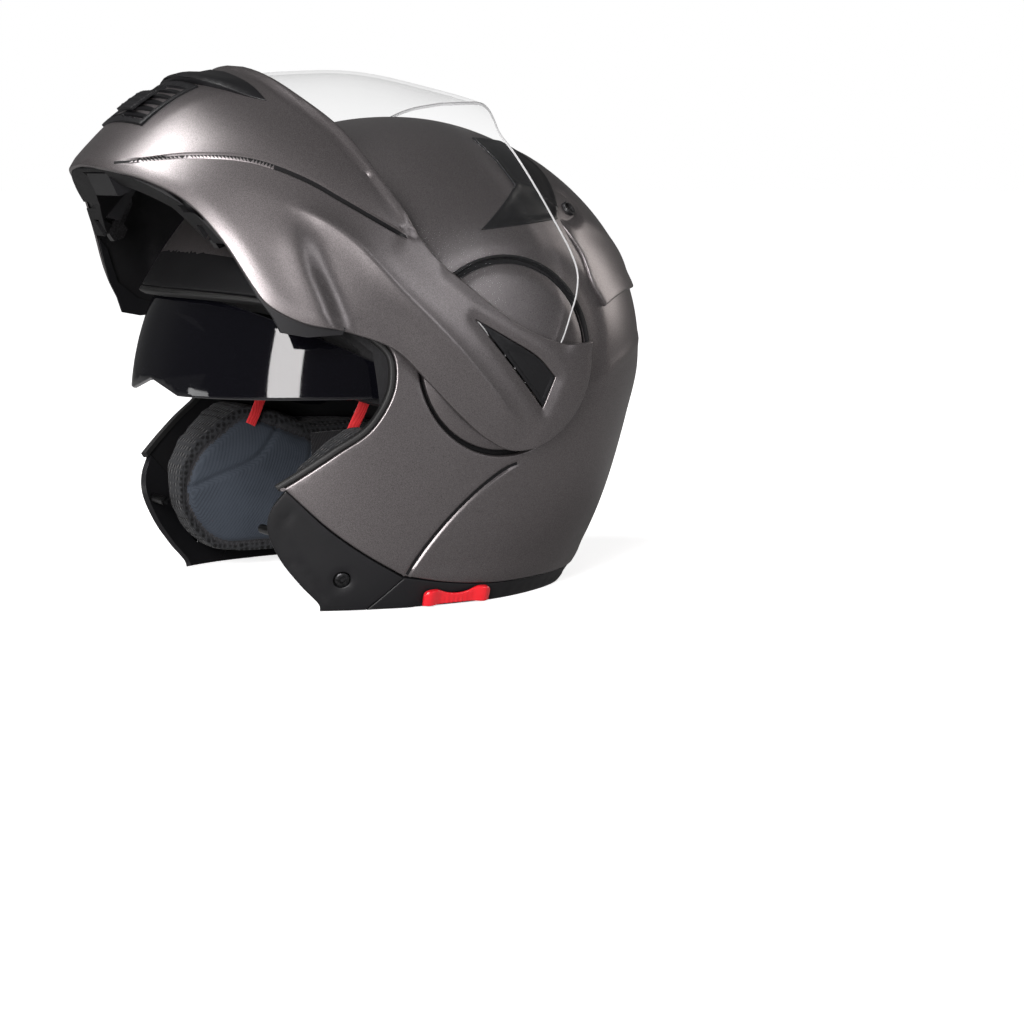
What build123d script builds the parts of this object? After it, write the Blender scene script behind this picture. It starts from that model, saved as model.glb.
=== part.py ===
from build123d import *
import math
import os

import numpy as np

os.makedirs("parts", exist_ok=True)

# Modular motorcycle helmet, millimetres, +Z up, face towards -Y, rider's left +X.
# Origin: on the flat rim plane, on the midplane, straight under the hinge axis.
# Rest pose: chin bar flipped up, clear visor against the chin bar, sun visor down.

# ---------------------------------------------------------------- driving dimensions
AXIS_Z = 135.0          # height of the hinge axis of chin bar and clear visor
SUN_Z = 100.0           # height of the sun visor's axis
FLIP = 64.0             # travel of the chin bar, degrees
SHELL_A = 121.0         # half width of the shell on the axis
SHELL_T = 3.5           # shell wall
CHIN_A = 130.0          # half width over the chin bar arms
CHIN_T = 2.4            # arm wall
VISOR_A = 127.0
VISOR_T = 2.2
SUN_A = 110.0
SUN_B = 158.4
SUN_T = 2.2
BASE_A = 122.5
POCKET_R = 53.5         # round pocket in the shell for the hinge
POCKET_X = 113.4
BASE_R = 51.0
PIN_R = 5.0
RUN = 0.06              # radial running clearance on pins
SWEEP_R = 163.5         # nothing on the chin bar's inside comes nearer to the axis
RIM_W = 3.5             # visible width of the rubber bead


# ---------------------------------------------------------------- shared surface family
def periodic(knots):
    """Periodic cubic through (degrees, value) knots."""
    ks = sorted(knots)
    n = len(ks)
    ph = np.array([k[0] for k in ks], float)
    v = np.array([k[1] for k in ks], float)
    h = np.diff(np.r_[ph, ph[0] + 360])
    A = np.zeros((n, n))
    B = np.zeros(n)
    for i in range(n):
        A[i, (i - 1) % n] = h[i - 1]
        A[i, i] = 2 * (h[i - 1] + h[i])
        A[i, (i + 1) % n] = h[i]
        B[i] = 6 * ((v[(i + 1) % n] - v[i]) / h[i] - (v[i] - v[i - 1]) / h[i - 1])
    M = np.linalg.solve(A, B)

    def f(x):
        x = (x - ph[0]) % 360 + ph[0]
        i = int(np.searchsorted(ph, x, side="right") - 1)
        t = x - ph[i]
        H = h[i]
        j = (i + 1) % n
        return float((M[i] * (H - t) ** 3 + M[j] * t ** 3) / (6 * H) + (v[i] / H - M[i] * H / 6) * (H - t) + (v[j] / H - M[j] * H / 6) * t)

    return f


# Side-view radii from the hinge axis; 0 degrees is forward, 90 is up.
SHELL_B = periodic([(-120, 162), (-102, 185), (-88, 214), (-72, 228), (-60, 226), (-45, 207), (-30, 193), (-5, 172), (14.6, 152.5), (30, 143), (50, 136), (72.8, 131.4), (98.8, 127.4), (122, 125), (140, 127), (160, 130.5), (183, 132.5), (207, 135), (225, 147)])
CHIN_B = periodic([(-30, 234), (0, 235), (13, 232), (29, 220.5), (44, 206), (57, 188), (74, 171), (95, 158), (130, 150), (180, 150), (240, 172), (290, 208)])
VISOR_B = periodic([(0, 222), (30, 206), (45, 193), (57, 181), (65.7, 170), (75.9, 160.5), (88.2, 150.3), (101, 145.5), (115, 144.5), (150, 144), (200, 146), (260, 166), (310, 198)])
HEAD_B = periodic([(-90, 150), (-60, 120), (-20, 104), (14, 104), (30, 105), (50, 102), (73, 98.5), (99, 97), (122, 97), (140, 98), (160, 101), (183, 104), (207, 108), (231, 122)])
CHIN_N = periodic([(-20, 2.15), (13, 2.13), (30, 2.06), (45, 2.05), (57, 2.08), (80, 2.22), (120, 2.4), (180, 2.4), (240, 2.4), (290, 2.3)])


def two4(p):
    return 2.4


def two3(p):
    return 2.3


FRACTIONS = [0, 0.24, 0.46, 0.65, 0.80, 0.90, 0.955, 0.985]


def blob(a, b, n, zc=AXIS_Z, count=30):
    """Closed body: sections across X, each a periodic curve round the axis."""
    with BuildPart() as body:
        for s in [-f for f in FRACTIONS[:0:-1]] + FRACTIONS:
            pts = []
            for k in range(count):
                deg = 360 * k / count
                m = n(deg)
                r = b(deg) * (1 - abs(s) ** m) ** (1 / m)
                t = math.radians(deg)
                pts.append(Vector(-r * math.cos(t), zc + r * math.sin(t)))
            with BuildSketch(Plane.YZ.offset(s * a)):
                with BuildLine():
                    add(Edge.make_spline(pts, periodic=True, parameters=[float(k) for k in range(count + 1)]))
                make_face()
        loft()
    return body.part


def shell_body(d=0.0):
    return blob(SHELL_A + d, lambda p: SHELL_B(p) + d, two4)


def chin_body(da=0.0, db=0.0):
    return blob(CHIN_A + da, lambda p: CHIN_B(p) + db, CHIN_N)


def prism(points, x0, x1):
    """Side-view outline, extruded from x0 to x1."""
    with BuildPart() as body:
        with BuildSketch(Plane.YZ.offset(x0)):
            with BuildLine():
                Polyline(*points, close=True)
            make_face()
        extrude(amount=x1 - x0)
    return body.part


def disc(r, x0, x1, y=0.0, z=AXIS_Z):
    with BuildPart() as body:
        with BuildSketch(Plane.YZ.offset(x0)):
            with Locations((y, z)):
                Circle(r)
        extrude(amount=x1 - x0)
    return body.part


def shifted(points, d):
    """Open outline moved sideways by d, to the left of its direction of travel."""
    out = []
    for i, (y, z) in enumerate(points):
        a = points[max(i - 1, 0)]
        b = points[min(i + 1, len(points) - 1)]
        ty, tz = b[0] - a[0], b[1] - a[1]
        L = math.hypot(ty, tz)
        out.append((y - tz / L * d, z + ty / L * d))
    return out


def opened(points):
    """Outline given with the chin bar closed, turned to the open rest pose."""
    t = math.radians(FLIP)
    out = []
    for y, z in points:
        w = z - AXIS_Z
        out.append((y * math.cos(t) + w * math.sin(t), -y * math.sin(t) + w * math.cos(t) + AXIS_Z))
    return out


def polar(r, deg):
    t = math.radians(deg)
    return (-r * math.cos(t), AXIS_Z + r * math.sin(t))


# ---------------------------------------------------------------- side-view outlines
EYE = [(-175, 174), (-152, 172.5), (-120, 168), (-92, 158), (-76, 149), (-67, 139), (-66, 124), (-70, 112), (-80, 98), (-96, 87), (-110, 77), (-124, 67)]
TRIM_TOP = [(-121, 68), (-99, 46), (-79, 31), (-57, 17.7)]
TRIM_FRONT = [(-99, 0), (-99.5, 3), (-110, 15), (-121, 30), (-128, 47), (-127, 57), (-121, 68)]
BAND_TOP = [(-57, 18), (-31, 13), (-4, 10.2), (26, 9.6), (68, 10), (112, 12.5), (150, 15)]
SEAM = [(-110, 297), (-107, 292), (-102.5, 286), (-95, 275), (-81, 257), (-69, 233), (-56, 207)]
STEP = [(-37, 183), (3, 153), (32, 142), (60, 142.5)]
CHIN_LOW = [(-194, 238), (-180, 231), (-166, 220), (-154, 201), (-142, 176), (-136, 167), (-119, 157), (-96, 152), (-70, 142), (-51, 124), (-34, 107), (-16, 92)]
ARM_END = [(0, 84.5), (17, 86), (32, 94.5), (44, 108), (50.5, 124), (51.5, 135)]

# ================================================================= painted shell
OUT = shell_body()
INN = shell_body(-SHELL_T)
# The space inside the closed clear visor, which the face-opening edge stays clear of.
VISOR_ROOM = Pos(0, 0, AXIS_Z) * Rot(FLIP, 0, 0) * Pos(0, 0, -AXIS_Z) * blob(VISOR_A - VISOR_T - 0.4, lambda p: VISOR_B(p) - VISOR_T - 0.4, CHIN_N)
with BuildPart() as brow_cut:
    add(shell_body(4))
    add(VISOR_ROOM, mode=Mode.SUBTRACT)
    add(prism([(-200, 105), (-62, 105), (-62, 200), (-200, 200)], -130, 130), mode=Mode.INTERSECT)
with BuildPart() as outer_shell:
    add(OUT)
    add(INN, mode=Mode.SUBTRACT)
    for sx in (1, -1):
        add(disc(56, 110 if sx > 0 else -POCKET_X, POCKET_X if sx > 0 else -110))
    add(prism([(-260, 174)] + EYE + [(-122, 68.3)] + [(y, z + 0.3) for y, z in TRIM_TOP] + [(y, z + 0.3) for y, z in BAND_TOP] + [(170, 15), (170, -200), (-260, -200)], -150, 150), mode=Mode.SUBTRACT)
    for sx in (1, -1):
        add(disc(POCKET_R, POCKET_X if sx > 0 else -140, 140 if sx > 0 else -POCKET_X), mode=Mode.SUBTRACT)
    add(brow_cut.part, mode=Mode.SUBTRACT)
outer_shell.part.label = "outer_shell"
export_step(outer_shell.part, "parts/outer_shell.step")

# ================================================================= rubber bead round the face opening
BEAD_OUT = shell_body(0.9)
BEAD_IN = shell_body(-SHELL_T - 0.2)
bead_line = EYE[1:]
with BuildPart() as eyeport_seal:
    add(BEAD_OUT)
    add(BEAD_IN, mode=Mode.SUBTRACT)
    near = shifted([(-165, 173.4)] + bead_line, -0.2)
    far = shifted([(-165, 173.4)] + bead_line, -RIM_W)
    add(prism(near + far[::-1], -150, 150), mode=Mode.INTERSECT)
    add(VISOR_ROOM, mode=Mode.INTERSECT)
eyeport_seal.part.label = "eyeport_seal"
export_step(eyeport_seal.part, "parts/eyeport_seal.step")

# ================================================================= black lower trims
TR_OUT = shell_body(0.5)
TR_IN = shell_body(-SHELL_T - 0.3)
with BuildPart() as trim_wall:
    add(TR_OUT)
    add(TR_IN, mode=Mode.SUBTRACT)
SCREW_AT = (-90.0, 17.5)
with BuildPart() as front_trim_left:
    add(trim_wall.part)
    add(prism(TRIM_TOP[:-1] + [(-57.2, 17.4), (-74, 1.8), (-75.8, 0)] + TRIM_FRONT[:-1], 10, 140), mode=Mode.INTERSECT)
    add(disc(4.3, 80, 120, SCREW_AT[0], SCREW_AT[1]), mode=Mode.SUBTRACT)
front_trim_left.part.label = "front_trim_left"
export_step(front_trim_left.part, "parts/front_trim_left.step")
with BuildPart() as front_trim_right:
    mirror(front_trim_left.part, about=Plane.YZ)
front_trim_right.part.label = "front_trim_right"
export_step(front_trim_right.part, "parts/front_trim_right.step")

SLOT = (-41.5, -10.5, 2.6, 6.9)
with BuildPart() as rear_trim:
    add(trim_wall.part)
    add(prism([(-56.7, 17.4)] + BAND_TOP[1:] + [(150, 0), (-75.3, 0), (-73.6, 1.8)], -140, 140), mode=Mode.INTERSECT)
    add(prism([(SLOT[0], SLOT[2]), (SLOT[1], SLOT[2]), (SLOT[1], SLOT[3]), (SLOT[0], SLOT[3])], 80, 130), mode=Mode.SUBTRACT)
rear_trim.part.label = "rear_trim"
export_step(rear_trim.part, "parts/rear_trim.step")

with BuildPart() as trim_screws:
    for sx in (1, -1):
        add(disc(4.2, 95.0 if sx > 0 else -99.0, 99.0 if sx > 0 else -95.0, SCREW_AT[0], SCREW_AT[1]))
        add(disc(2.0, 97.2 if sx > 0 else -99.5, 99.5 if sx > 0 else -97.2, SCREW_AT[0], SCREW_AT[1]), mode=Mode.SUBTRACT)
trim_screws.part.label = "trim_screws"
export_step(trim_screws.part, "parts/trim_screws.step")

# ================================================================= red slider on the left rim
with BuildPart() as sun_visor_slider:
    add(shell_body(4.6))
    add(shell_body(1.75), mode=Mode.SUBTRACT)
    add(prism([(-45, 1.0), (-44, 9.0), (-37, 9.8), (-30, 7.4), (-19, 7.4), (-12, 9.8), (-5, 9.0), (-4, 1.0)], 60, 140), mode=Mode.INTERSECT)
    add(prism([(-41, 3.1), (-33, 3.1), (-33, 6.4), (-41, 6.4)], 94, 107.4))
sun_visor_slider.part.label = "sun_visor_slider"
export_step(sun_visor_slider.part, "parts/sun_visor_slider.step")

# ================================================================= foam liner
HEAD = blob(90.0, HEAD_B, two3)
with BuildPart() as sun_gap:
    add(shell_body(-SHELL_T - 0.5))
    add(blob(104.0, lambda p: SHELL_B(p) - 16, two4), mode=Mode.SUBTRACT)
    add(prism([(-190, 80), (18, 80), (18, 122), (-20, 152), (-58, 202), (-92, 236), (-190, 236)], -130, 130), mode=Mode.INTERSECT)
with BuildPart() as eps_liner:
    add(shell_body(-SHELL_T - 0.4))
    add(HEAD, mode=Mode.SUBTRACT)
    add(prism([(-190, 172), (-138, 170), (-120, 165), (-92, 154), (-76, 140), (-73, 113), (-45, 104), (27, 99), (38, 60), (40, 26), (150, 26), (170, 290), (-190, 290)], -140, 140), mode=Mode.INTERSECT)
    add(sun_gap.part, mode=Mode.SUBTRACT)
    for sx in (1, -1):
        add(disc(56.6, 109.6 if sx > 0 else -140, 140 if sx > 0 else -109.6), mode=Mode.SUBTRACT)

# The foam is moulded in sections: crown, brow, two sides and rear.
with BuildPart() as foam_crown:
    add(eps_liner.part)
    add(prism([(-200, 186.02), (200, 186.02), (200, 320), (-200, 320)], -140, 140), mode=Mode.INTERSECT)
foam_crown.part.label = "foam_crown"
export_step(foam_crown.part, "parts/foam_crown.step")
with BuildPart() as foam_brow:
    add(eps_liner.part)
    add(prism([(-200, 0), (-72.02, 0), (-72.02, 185.98), (-200, 185.98)], -140, 140), mode=Mode.INTERSECT)
foam_brow.part.label = "foam_brow"
export_step(foam_brow.part, "parts/foam_brow.step")
with BuildPart() as foam_rear:
    add(eps_liner.part)
    add(prism([(72.02, 0), (200, 0), (200, 185.98), (72.02, 185.98)], -140, 140), mode=Mode.INTERSECT)
foam_rear.part.label = "foam_rear"
export_step(foam_rear.part, "parts/foam_rear.step")
with BuildPart() as foam_left:
    add(eps_liner.part)
    add(prism([(-71.98, 0), (71.98, 0), (71.98, 185.98), (-71.98, 185.98)], 0.5, 140), mode=Mode.INTERSECT)
foam_left.part.label = "foam_left"
export_step(foam_left.part, "parts/foam_left.step")
with BuildPart() as foam_right:
    add(eps_liner.part)
    add(prism([(-71.98, 0), (71.98, 0), (71.98, 185.98), (-71.98, 185.98)], -140, -0.5), mode=Mode.INTERSECT)
foam_right.part.label = "foam_right"
export_step(foam_right.part, "parts/foam_right.step")

# ================================================================= comfort liner
with BuildPart() as head_liner:
    add(blob(89.5, lambda p: HEAD_B(p) - 0.5, two3))
    add(blob(81.0, lambda p: HEAD_B(p) - 9.5, two3), mode=Mode.SUBTRACT)
    add(prism([(-140, 172), (-88, 168), (80, 150), (140, 150), (140, 290), (-140, 290)], -120, 120), mode=Mode.INTERSECT)

# The comfort liner is sewn from five pads: one over the crown and four round the head.
with BuildPart() as crown_pad:
    add(head_liner.part)
    add(prism([(-200, 198.02), (200, 198.02), (200, 320), (-200, 320)], -140, 140), mode=Mode.INTERSECT)
crown_pad.part.label = "crown_pad"
export_step(crown_pad.part, "parts/crown_pad.step")
with BuildPart() as liner_front:
    add(head_liner.part)
    add(prism([(-200, 100), (-46.02, 100), (-46.02, 197.98), (-200, 197.98)], -140, 140), mode=Mode.INTERSECT)
liner_front.part.label = "liner_front"
export_step(liner_front.part, "parts/liner_front.step")
with BuildPart() as liner_rear:
    add(head_liner.part)
    add(prism([(46.02, 100), (200, 100), (200, 197.98), (46.02, 197.98)], -140, 140), mode=Mode.INTERSECT)
liner_rear.part.label = "liner_rear"
export_step(liner_rear.part, "parts/liner_rear.step")
with BuildPart() as liner_left:
    add(head_liner.part)
    add(prism([(-45.98, 100), (45.98, 100), (45.98, 197.98), (-45.98, 197.98)], 0.5, 140), mode=Mode.INTERSECT)
liner_left.part.label = "liner_left"
export_step(liner_left.part, "parts/liner_left.step")
with BuildPart() as liner_right:
    mirror(liner_left.part, about=Plane.YZ)
liner_right.part.label = "liner_right"
export_step(liner_right.part, "parts/liner_right.step")

PAD = [(-113, 60), (-104, 76), (-88, 89), (-70, 100), (-50, 95), (-25, 86), (30, 84), (36, 58), (37, 16), (22, 8.4), (-60, 8.4), (-88, 10), (-103, 22), (-113, 40)]
with BuildPart() as cheek_pad_left:
    add(blob(SHELL_A - SHELL_T - 1.4, lambda p: SHELL_B(p) - SHELL_T - 1.4, two4))
    add(prism(PAD, 64, 130), mode=Mode.INTERSECT)
    add(disc(56.8, 109.4, 130), mode=Mode.SUBTRACT)
cheek_pad_left.part.label = "cheek_pad_left"
export_step(cheek_pad_left.part, "parts/cheek_pad_left.step")
with BuildPart() as cheek_pad_right:
    mirror(cheek_pad_left.part, about=Plane.YZ)
cheek_pad_right.part.label = "cheek_pad_right"
export_step(cheek_pad_right.part, "parts/cheek_pad_right.step")

with BuildPart() as neck_roll:
    add(blob(SHELL_A - SHELL_T - 1.4, lambda p: SHELL_B(p) - SHELL_T - 1.4, two4))
    add(blob(92.0, lambda p: SHELL_B(p) - 26, two4), mode=Mode.SUBTRACT)
    add(prism([(40, 2.0), (150, 2.0), (150, 23), (40, 23)], -120, 120), mode=Mode.INTERSECT)
neck_roll.part.label = "neck_roll"
export_step(neck_roll.part, "parts/neck_roll.step")

# ================================================================= chin strap webbing and rings
with BuildPart() as strap_left:
    with BuildSketch(Plane.YZ.offset(61.6)):
        with Locations((-17, 46)):
            RectangleRounded(24, 68, 3)
    extrude(amount=1.8)
strap_left.part.label = "strap_left"
export_step(strap_left.part, "parts/strap_left.step")
with BuildPart() as strap_right:
    mirror(strap_left.part, about=Plane.YZ)
strap_right.part.label = "strap_right"
export_step(strap_right.part, "parts/strap_right.step")
with BuildPart() as d_rings:
    for x in (-61.2, -58.8):
        with BuildSketch(Plane.YZ.offset(x)):
            with Locations((-17, 18)):
                RectangleRounded(34, 24, 11)
                RectangleRounded(27, 17, 8, mode=Mode.SUBTRACT)
        extrude(amount=2.0)
d_rings.part.label = "d_rings"
export_step(d_rings.part, "parts/d_rings.step")
with BuildPart() as red_pull_left:
    with BuildSketch(Plane.YZ.offset(61.2)):
        with BuildLine():
            Polyline((-60, 112), (-52, 112), (-64, 86), (-72, 86), close=True)
        make_face()
    extrude(amount=2.4)
red_pull_left.part.label = "red_pull_left"
export_step(red_pull_left.part, "parts/red_pull_left.step")
with BuildPart() as red_pull_right:
    mirror(red_pull_left.part, about=Plane.YZ)
red_pull_right.part.label = "red_pull_right"
export_step(red_pull_right.part, "parts/red_pull_right.step")

# ================================================================= hinge hardware on the shell
with BuildPart() as pivot_plate_left:
    add(disc(32, POCKET_X + 0.02, 115.4))
    add(disc(PIN_R + 0.02, 113, 116), mode=Mode.SUBTRACT)
    with BuildSketch(Plane.YZ.offset(113)):
        with Locations((20, AXIS_Z), (-20, AXIS_Z), (0, AXIS_Z + 20)):
            Circle(2.6)
    extrude(amount=3, mode=Mode.SUBTRACT)
pivot_plate_left.part.label = "pivot_plate_left"
export_step(pivot_plate_left.part, "parts/pivot_plate_left.step")
with BuildPart() as pivot_plate_right:
    mirror(pivot_plate_left.part, about=Plane.YZ)
pivot_plate_right.part.label = "pivot_plate_right"
export_step(pivot_plate_right.part, "parts/pivot_plate_right.step")
with BuildPart() as pivot_pins:
    for sx in (1, -1):
        add(disc(PIN_R, POCKET_X + 0.02 if sx > 0 else -124.8, 124.8 if sx > 0 else -POCKET_X - 0.02))
pivot_pins.part.label = "pivot_pins"
export_step(pivot_pins.part, "parts/pivot_pins.step")
with BuildPart() as sun_visor_pins:
    for sx in (1, -1):
        add(disc(3.0, 103.4 if sx > 0 else -109.98, 109.98 if sx > 0 else -103.4, 0, SUN_Z))
sun_visor_pins.part.label = "sun_visor_pins"
export_step(sun_visor_pins.part, "parts/sun_visor_pins.step")
STRIKE = (-121.5, 44.0)
with BuildPart() as striker_pins:
    for sx in (1, -1):
        add(disc(2.5, 66 if sx > 0 else -85.6, 85.6 if sx > 0 else -66, STRIKE[0], STRIKE[1]))
    add(TR_IN, mode=Mode.INTERSECT)
striker_pins.part.label = "striker_pins"
export_step(striker_pins.part, "parts/striker_pins.step")

# ================================================================= rear vents and raised rear panel
VENT = [(12, 252), (20, 226), (-11, 203), (44, 208), (50, 222), (52, 236), (40, 250)]
with BuildPart() as rear_vent_left:
    add(shell_body(1.9))
    add(shell_body(0.25), mode=Mode.SUBTRACT)
    add(prism(VENT, 40, 140), mode=Mode.INTERSECT)
rear_vent_left.part.label = "rear_vent_left"
export_step(rear_vent_left.part, "parts/rear_vent_left.step")
with BuildPart() as rear_vent_right:
    mirror(rear_vent_left.part, about=Plane.YZ)
rear_vent_right.part.label = "rear_vent_right"
export_step(rear_vent_right.part, "parts/rear_vent_right.step")
with BuildPart() as rear_spoiler:
    add(shell_body(3.4))
    add(shell_body(0.25), mode=Mode.SUBTRACT)
    add(prism([(45.5, 207.5), (51, 221.5), (53.5, 236), (44, 252), (60, 262), (110, 240), (150, 168), (92, 167), (68, 160), (58, 186)], -140, 140), mode=Mode.INTERSECT)
    for sx in (1, -1):
        add(disc(4.4, 60 if sx > 0 else -130, 130 if sx > 0 else -60, 57.5, 213), mode=Mode.SUBTRACT)
rear_spoiler.part.label = "rear_spoiler"
export_step(rear_spoiler.part, "parts/rear_spoiler.step")
with BuildPart() as exhaust_ports:
    add(shell_body(3.2))
    add(shell_body(0.25), mode=Mode.SUBTRACT)
    add(disc(4.3, -130, 130, 57.5, 213), mode=Mode.INTERSECT)
    add(disc(3.0, -130, 130, 57.5, 213), mode=Mode.SUBTRACT)
exhaust_ports.part.label = "exhaust_ports"
export_step(exhaust_ports.part, "parts/exhaust_ports.step")

# ================================================================= chin bar: painted skin with both arms
C_OUT = chin_body()
C_INN = chin_body(-CHIN_T, -3.0)
TRI = [(-24, 157), (-4, 146), (15, 135), (26, 124), (18, 107), (4, 124)]
with BuildPart() as chin_bar_shell:
    add(C_OUT)
    add(C_INN, mode=Mode.SUBTRACT)
    add(prism(CHIN_LOW + ARM_END + [(51.5, 142.2)] + [STEP[2], STEP[1], STEP[0]] + SEAM[::-1] + [(-114, 320), (-260, 320), (-260, 238)], -150, 150), mode=Mode.INTERSECT)
    for x0, x1 in ((60, 140), (-140, -60)):
        add(prism(TRI, x0, x1), mode=Mode.SUBTRACT)
chin_bar_shell.part.label = "chin_bar_shell"
export_step(chin_bar_shell.part, "parts/chin_bar_shell.step")

with BuildPart() as side_vent_left:
    add(chin_body(-1.1, -1.1))
    add(chin_body(-CHIN_T + 0.15, -2.8), mode=Mode.SUBTRACT)
    add(prism([(-22.6, 155.9), (-3.9, 145.6), (14.9, 134.5), (25.5, 123.9), (17.8, 107.8), (4.2, 124.5)], 60, 140), mode=Mode.INTERSECT)
side_vent_left.part.label = "side_vent_left"
export_step(side_vent_left.part, "parts/side_vent_left.step")
with BuildPart() as side_vent_right:
    mirror(side_vent_left.part, about=Plane.YZ)
side_vent_right.part.label = "side_vent_right"
export_step(side_vent_right.part, "parts/side_vent_right.step")

with BuildPart() as arm_base_left:
    add(blob(BASE_A, lambda p: 140.0, two4))
    add(disc(BASE_R, 115.8, 130), mode=Mode.INTERSECT)
    add(disc(PIN_R + RUN, 110, 130), mode=Mode.SUBTRACT)
arm_base_left.part.label = "arm_base_left"
export_step(arm_base_left.part, "parts/arm_base_left.step")
with BuildPart() as arm_base_right:
    mirror(arm_base_left.part, about=Plane.YZ)
arm_base_right.part.label = "arm_base_right"
export_step(arm_base_right.part, "parts/arm_base_right.step")

# ================================================================= chin bar: inner liner, latches, button
BLOCK = [(-164, 20), polar(171.5, -38.6), polar(SWEEP_R + 0.3, -38.0), polar(SWEEP_R + 0.3, -33.0), polar(SWEEP_R + 0.3, -28.5), (-164, 60)]
BLOCK_FIT = [(-166, 17), polar(171.8, -39.4), polar(SWEEP_R - 3, -38.8), polar(SWEEP_R - 3, -28.0), (-166, 61)]
HOOK_PIVOT = polar(167.5, -30.5)
HOOK_ROOM = [polar(150, -28.0), polar(173.5, -27.6), polar(174.5, -36.0), polar(174.5, -46.0), polar(150, -46.0)]
with BuildPart() as chin_bar_liner:
    add(chin_body(-CHIN_T - 0.35, -3.35))
    add(blob(112.0, lambda p: CHIN_B(p) - 20, CHIN_N), mode=Mode.SUBTRACT)
    add(prism([(-260, 236), (-190, 236), (-178, 227.5), (-164, 216), (-152, 198), (-130, 190), (-98, 240), (-92, 262), (-112, 271), (-119, 281), (-123, 292), (-128, 320), (-260, 320)], -150, 150), mode=Mode.INTERSECT)
    add(disc(SWEEP_R, -150, 150), mode=Mode.SUBTRACT)
    for x0, x1 in ((61.7, 79.3), (-79.3, -61.7)):
        add(prism(opened(BLOCK_FIT), x0, x1), mode=Mode.SUBTRACT)
    for x0, x1 in ((68.4, 75.6), (-75.6, -68.4)):
        add(prism(opened(HOOK_ROOM), x0, x1), mode=Mode.SUBTRACT)
    add(prism(opened([(-171.6, 0), (-155.4, 0), (-155.4, 31), (-171.6, 31)]), -15.6, 15.6), mode=Mode.SUBTRACT)
chin_bar_liner.part.label = "chin_bar_liner"
export_step(chin_bar_liner.part, "parts/chin_bar_liner.step")

with BuildPart() as latch_block_left:
    add(prism(opened(BLOCK), 62, 79))
    add(chin_body(-CHIN_T - 0.6, -3.6), mode=Mode.INTERSECT)
    add(prism(opened(HOOK_ROOM), 68.6, 75.4), mode=Mode.SUBTRACT)
latch_block_left.part.label = "latch_block_left"
export_step(latch_block_left.part, "parts/latch_block_left.step")
with BuildPart() as latch_block_right:
    mirror(latch_block_left.part, about=Plane.YZ)
latch_block_right.part.label = "latch_block_right"
export_step(latch_block_right.part, "parts/latch_block_right.step")

hook_yz = opened([HOOK_PIVOT])[0]
with BuildPart() as latch_hook_left:
    add(prism(opened([polar(169.5, -31.0), polar(164.5, -31.0), polar(159.0, -33.5), polar(158.6, -38.0), polar(155.2, -38.4), polar(155.4, -40.6), polar(160.0, -42.0), polar(164.5, -41.0), polar(167.5, -34.0)]), 69, 75))
    add(disc(3.6, 69, 75, hook_yz[0], hook_yz[1]))
    add(disc(1.5 + RUN, 60, 80, hook_yz[0], hook_yz[1]), mode=Mode.SUBTRACT)
latch_hook_left.part.label = "latch_hook_left"
export_step(latch_hook_left.part, "parts/latch_hook_left.step")
with BuildPart() as latch_hook_right:
    mirror(latch_hook_left.part, about=Plane.YZ)
latch_hook_right.part.label = "latch_hook_right"
export_step(latch_hook_right.part, "parts/latch_hook_right.step")
with BuildPart() as latch_pins:
    for x0, x1 in ((68.62, 75.38), (-75.38, -68.62)):
        add(disc(1.5, x0, x1, hook_yz[0], hook_yz[1]))
latch_pins.part.label = "latch_pins"
export_step(latch_pins.part, "parts/latch_pins.step")

with BuildPart() as release_button:
    add(prism(opened([(-171, 13), (-170, 11.4), (-157, 11.4), (-156, 13), (-156, 24), (-171, 24)]), -15, 15))
release_button.part.label = "release_button"
export_step(release_button.part, "parts/release_button.step")

with BuildPart() as breath_deflector:
    add(prism([polar(210, 53), polar(166.2, 50), polar(166.2, 44), polar(166.2, 38), polar(168.4, 37.6), polar(168.4, 44), polar(168.4, 48.8), polar(210, 51.6)], -46, 46))
    add(blob(111.6, lambda p: CHIN_B(p) - 20.4, CHIN_N), mode=Mode.INTERSECT)
breath_deflector.part.label = "breath_deflector"
export_step(breath_deflector.part, "parts/breath_deflector.step")

with BuildPart() as visor_sill:
    add(chin_body(-CHIN_T - 0.2, -3.2))
    add(chin_body(-CHIN_T - 2.0, -5.2), mode=Mode.SUBTRACT)
    near = shifted(SEAM, -1.0)
    far = shifted(SEAM, -9.0)
    add(prism(near[:-1] + far[:-1][::-1], -150, 150), mode=Mode.INTERSECT)
visor_sill.part.label = "visor_sill"
export_step(visor_sill.part, "parts/visor_sill.step")

CORNER = [(-150, 196), (-139, 170), (-133, 161), (-129, 152), (-116, 149.5), (-98, 150.5), (-96, 154), (-118, 160), (-133, 170), (-143, 190)]
with BuildPart() as corner_guard_left:
    add(chin_body(-CHIN_T - 0.4, -3.4))
    add(chin_body(-CHIN_T - 1.9, -4.9), mode=Mode.SUBTRACT)
    add(prism(CORNER, 20, 150), mode=Mode.INTERSECT)
corner_guard_left.part.label = "corner_guard_left"
export_step(corner_guard_left.part, "parts/corner_guard_left.step")
with BuildPart() as corner_guard_right:
    mirror(corner_guard_left.part, about=Plane.YZ)
corner_guard_right.part.label = "corner_guard_right"
export_step(corner_guard_right.part, "parts/corner_guard_right.step")

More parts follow.
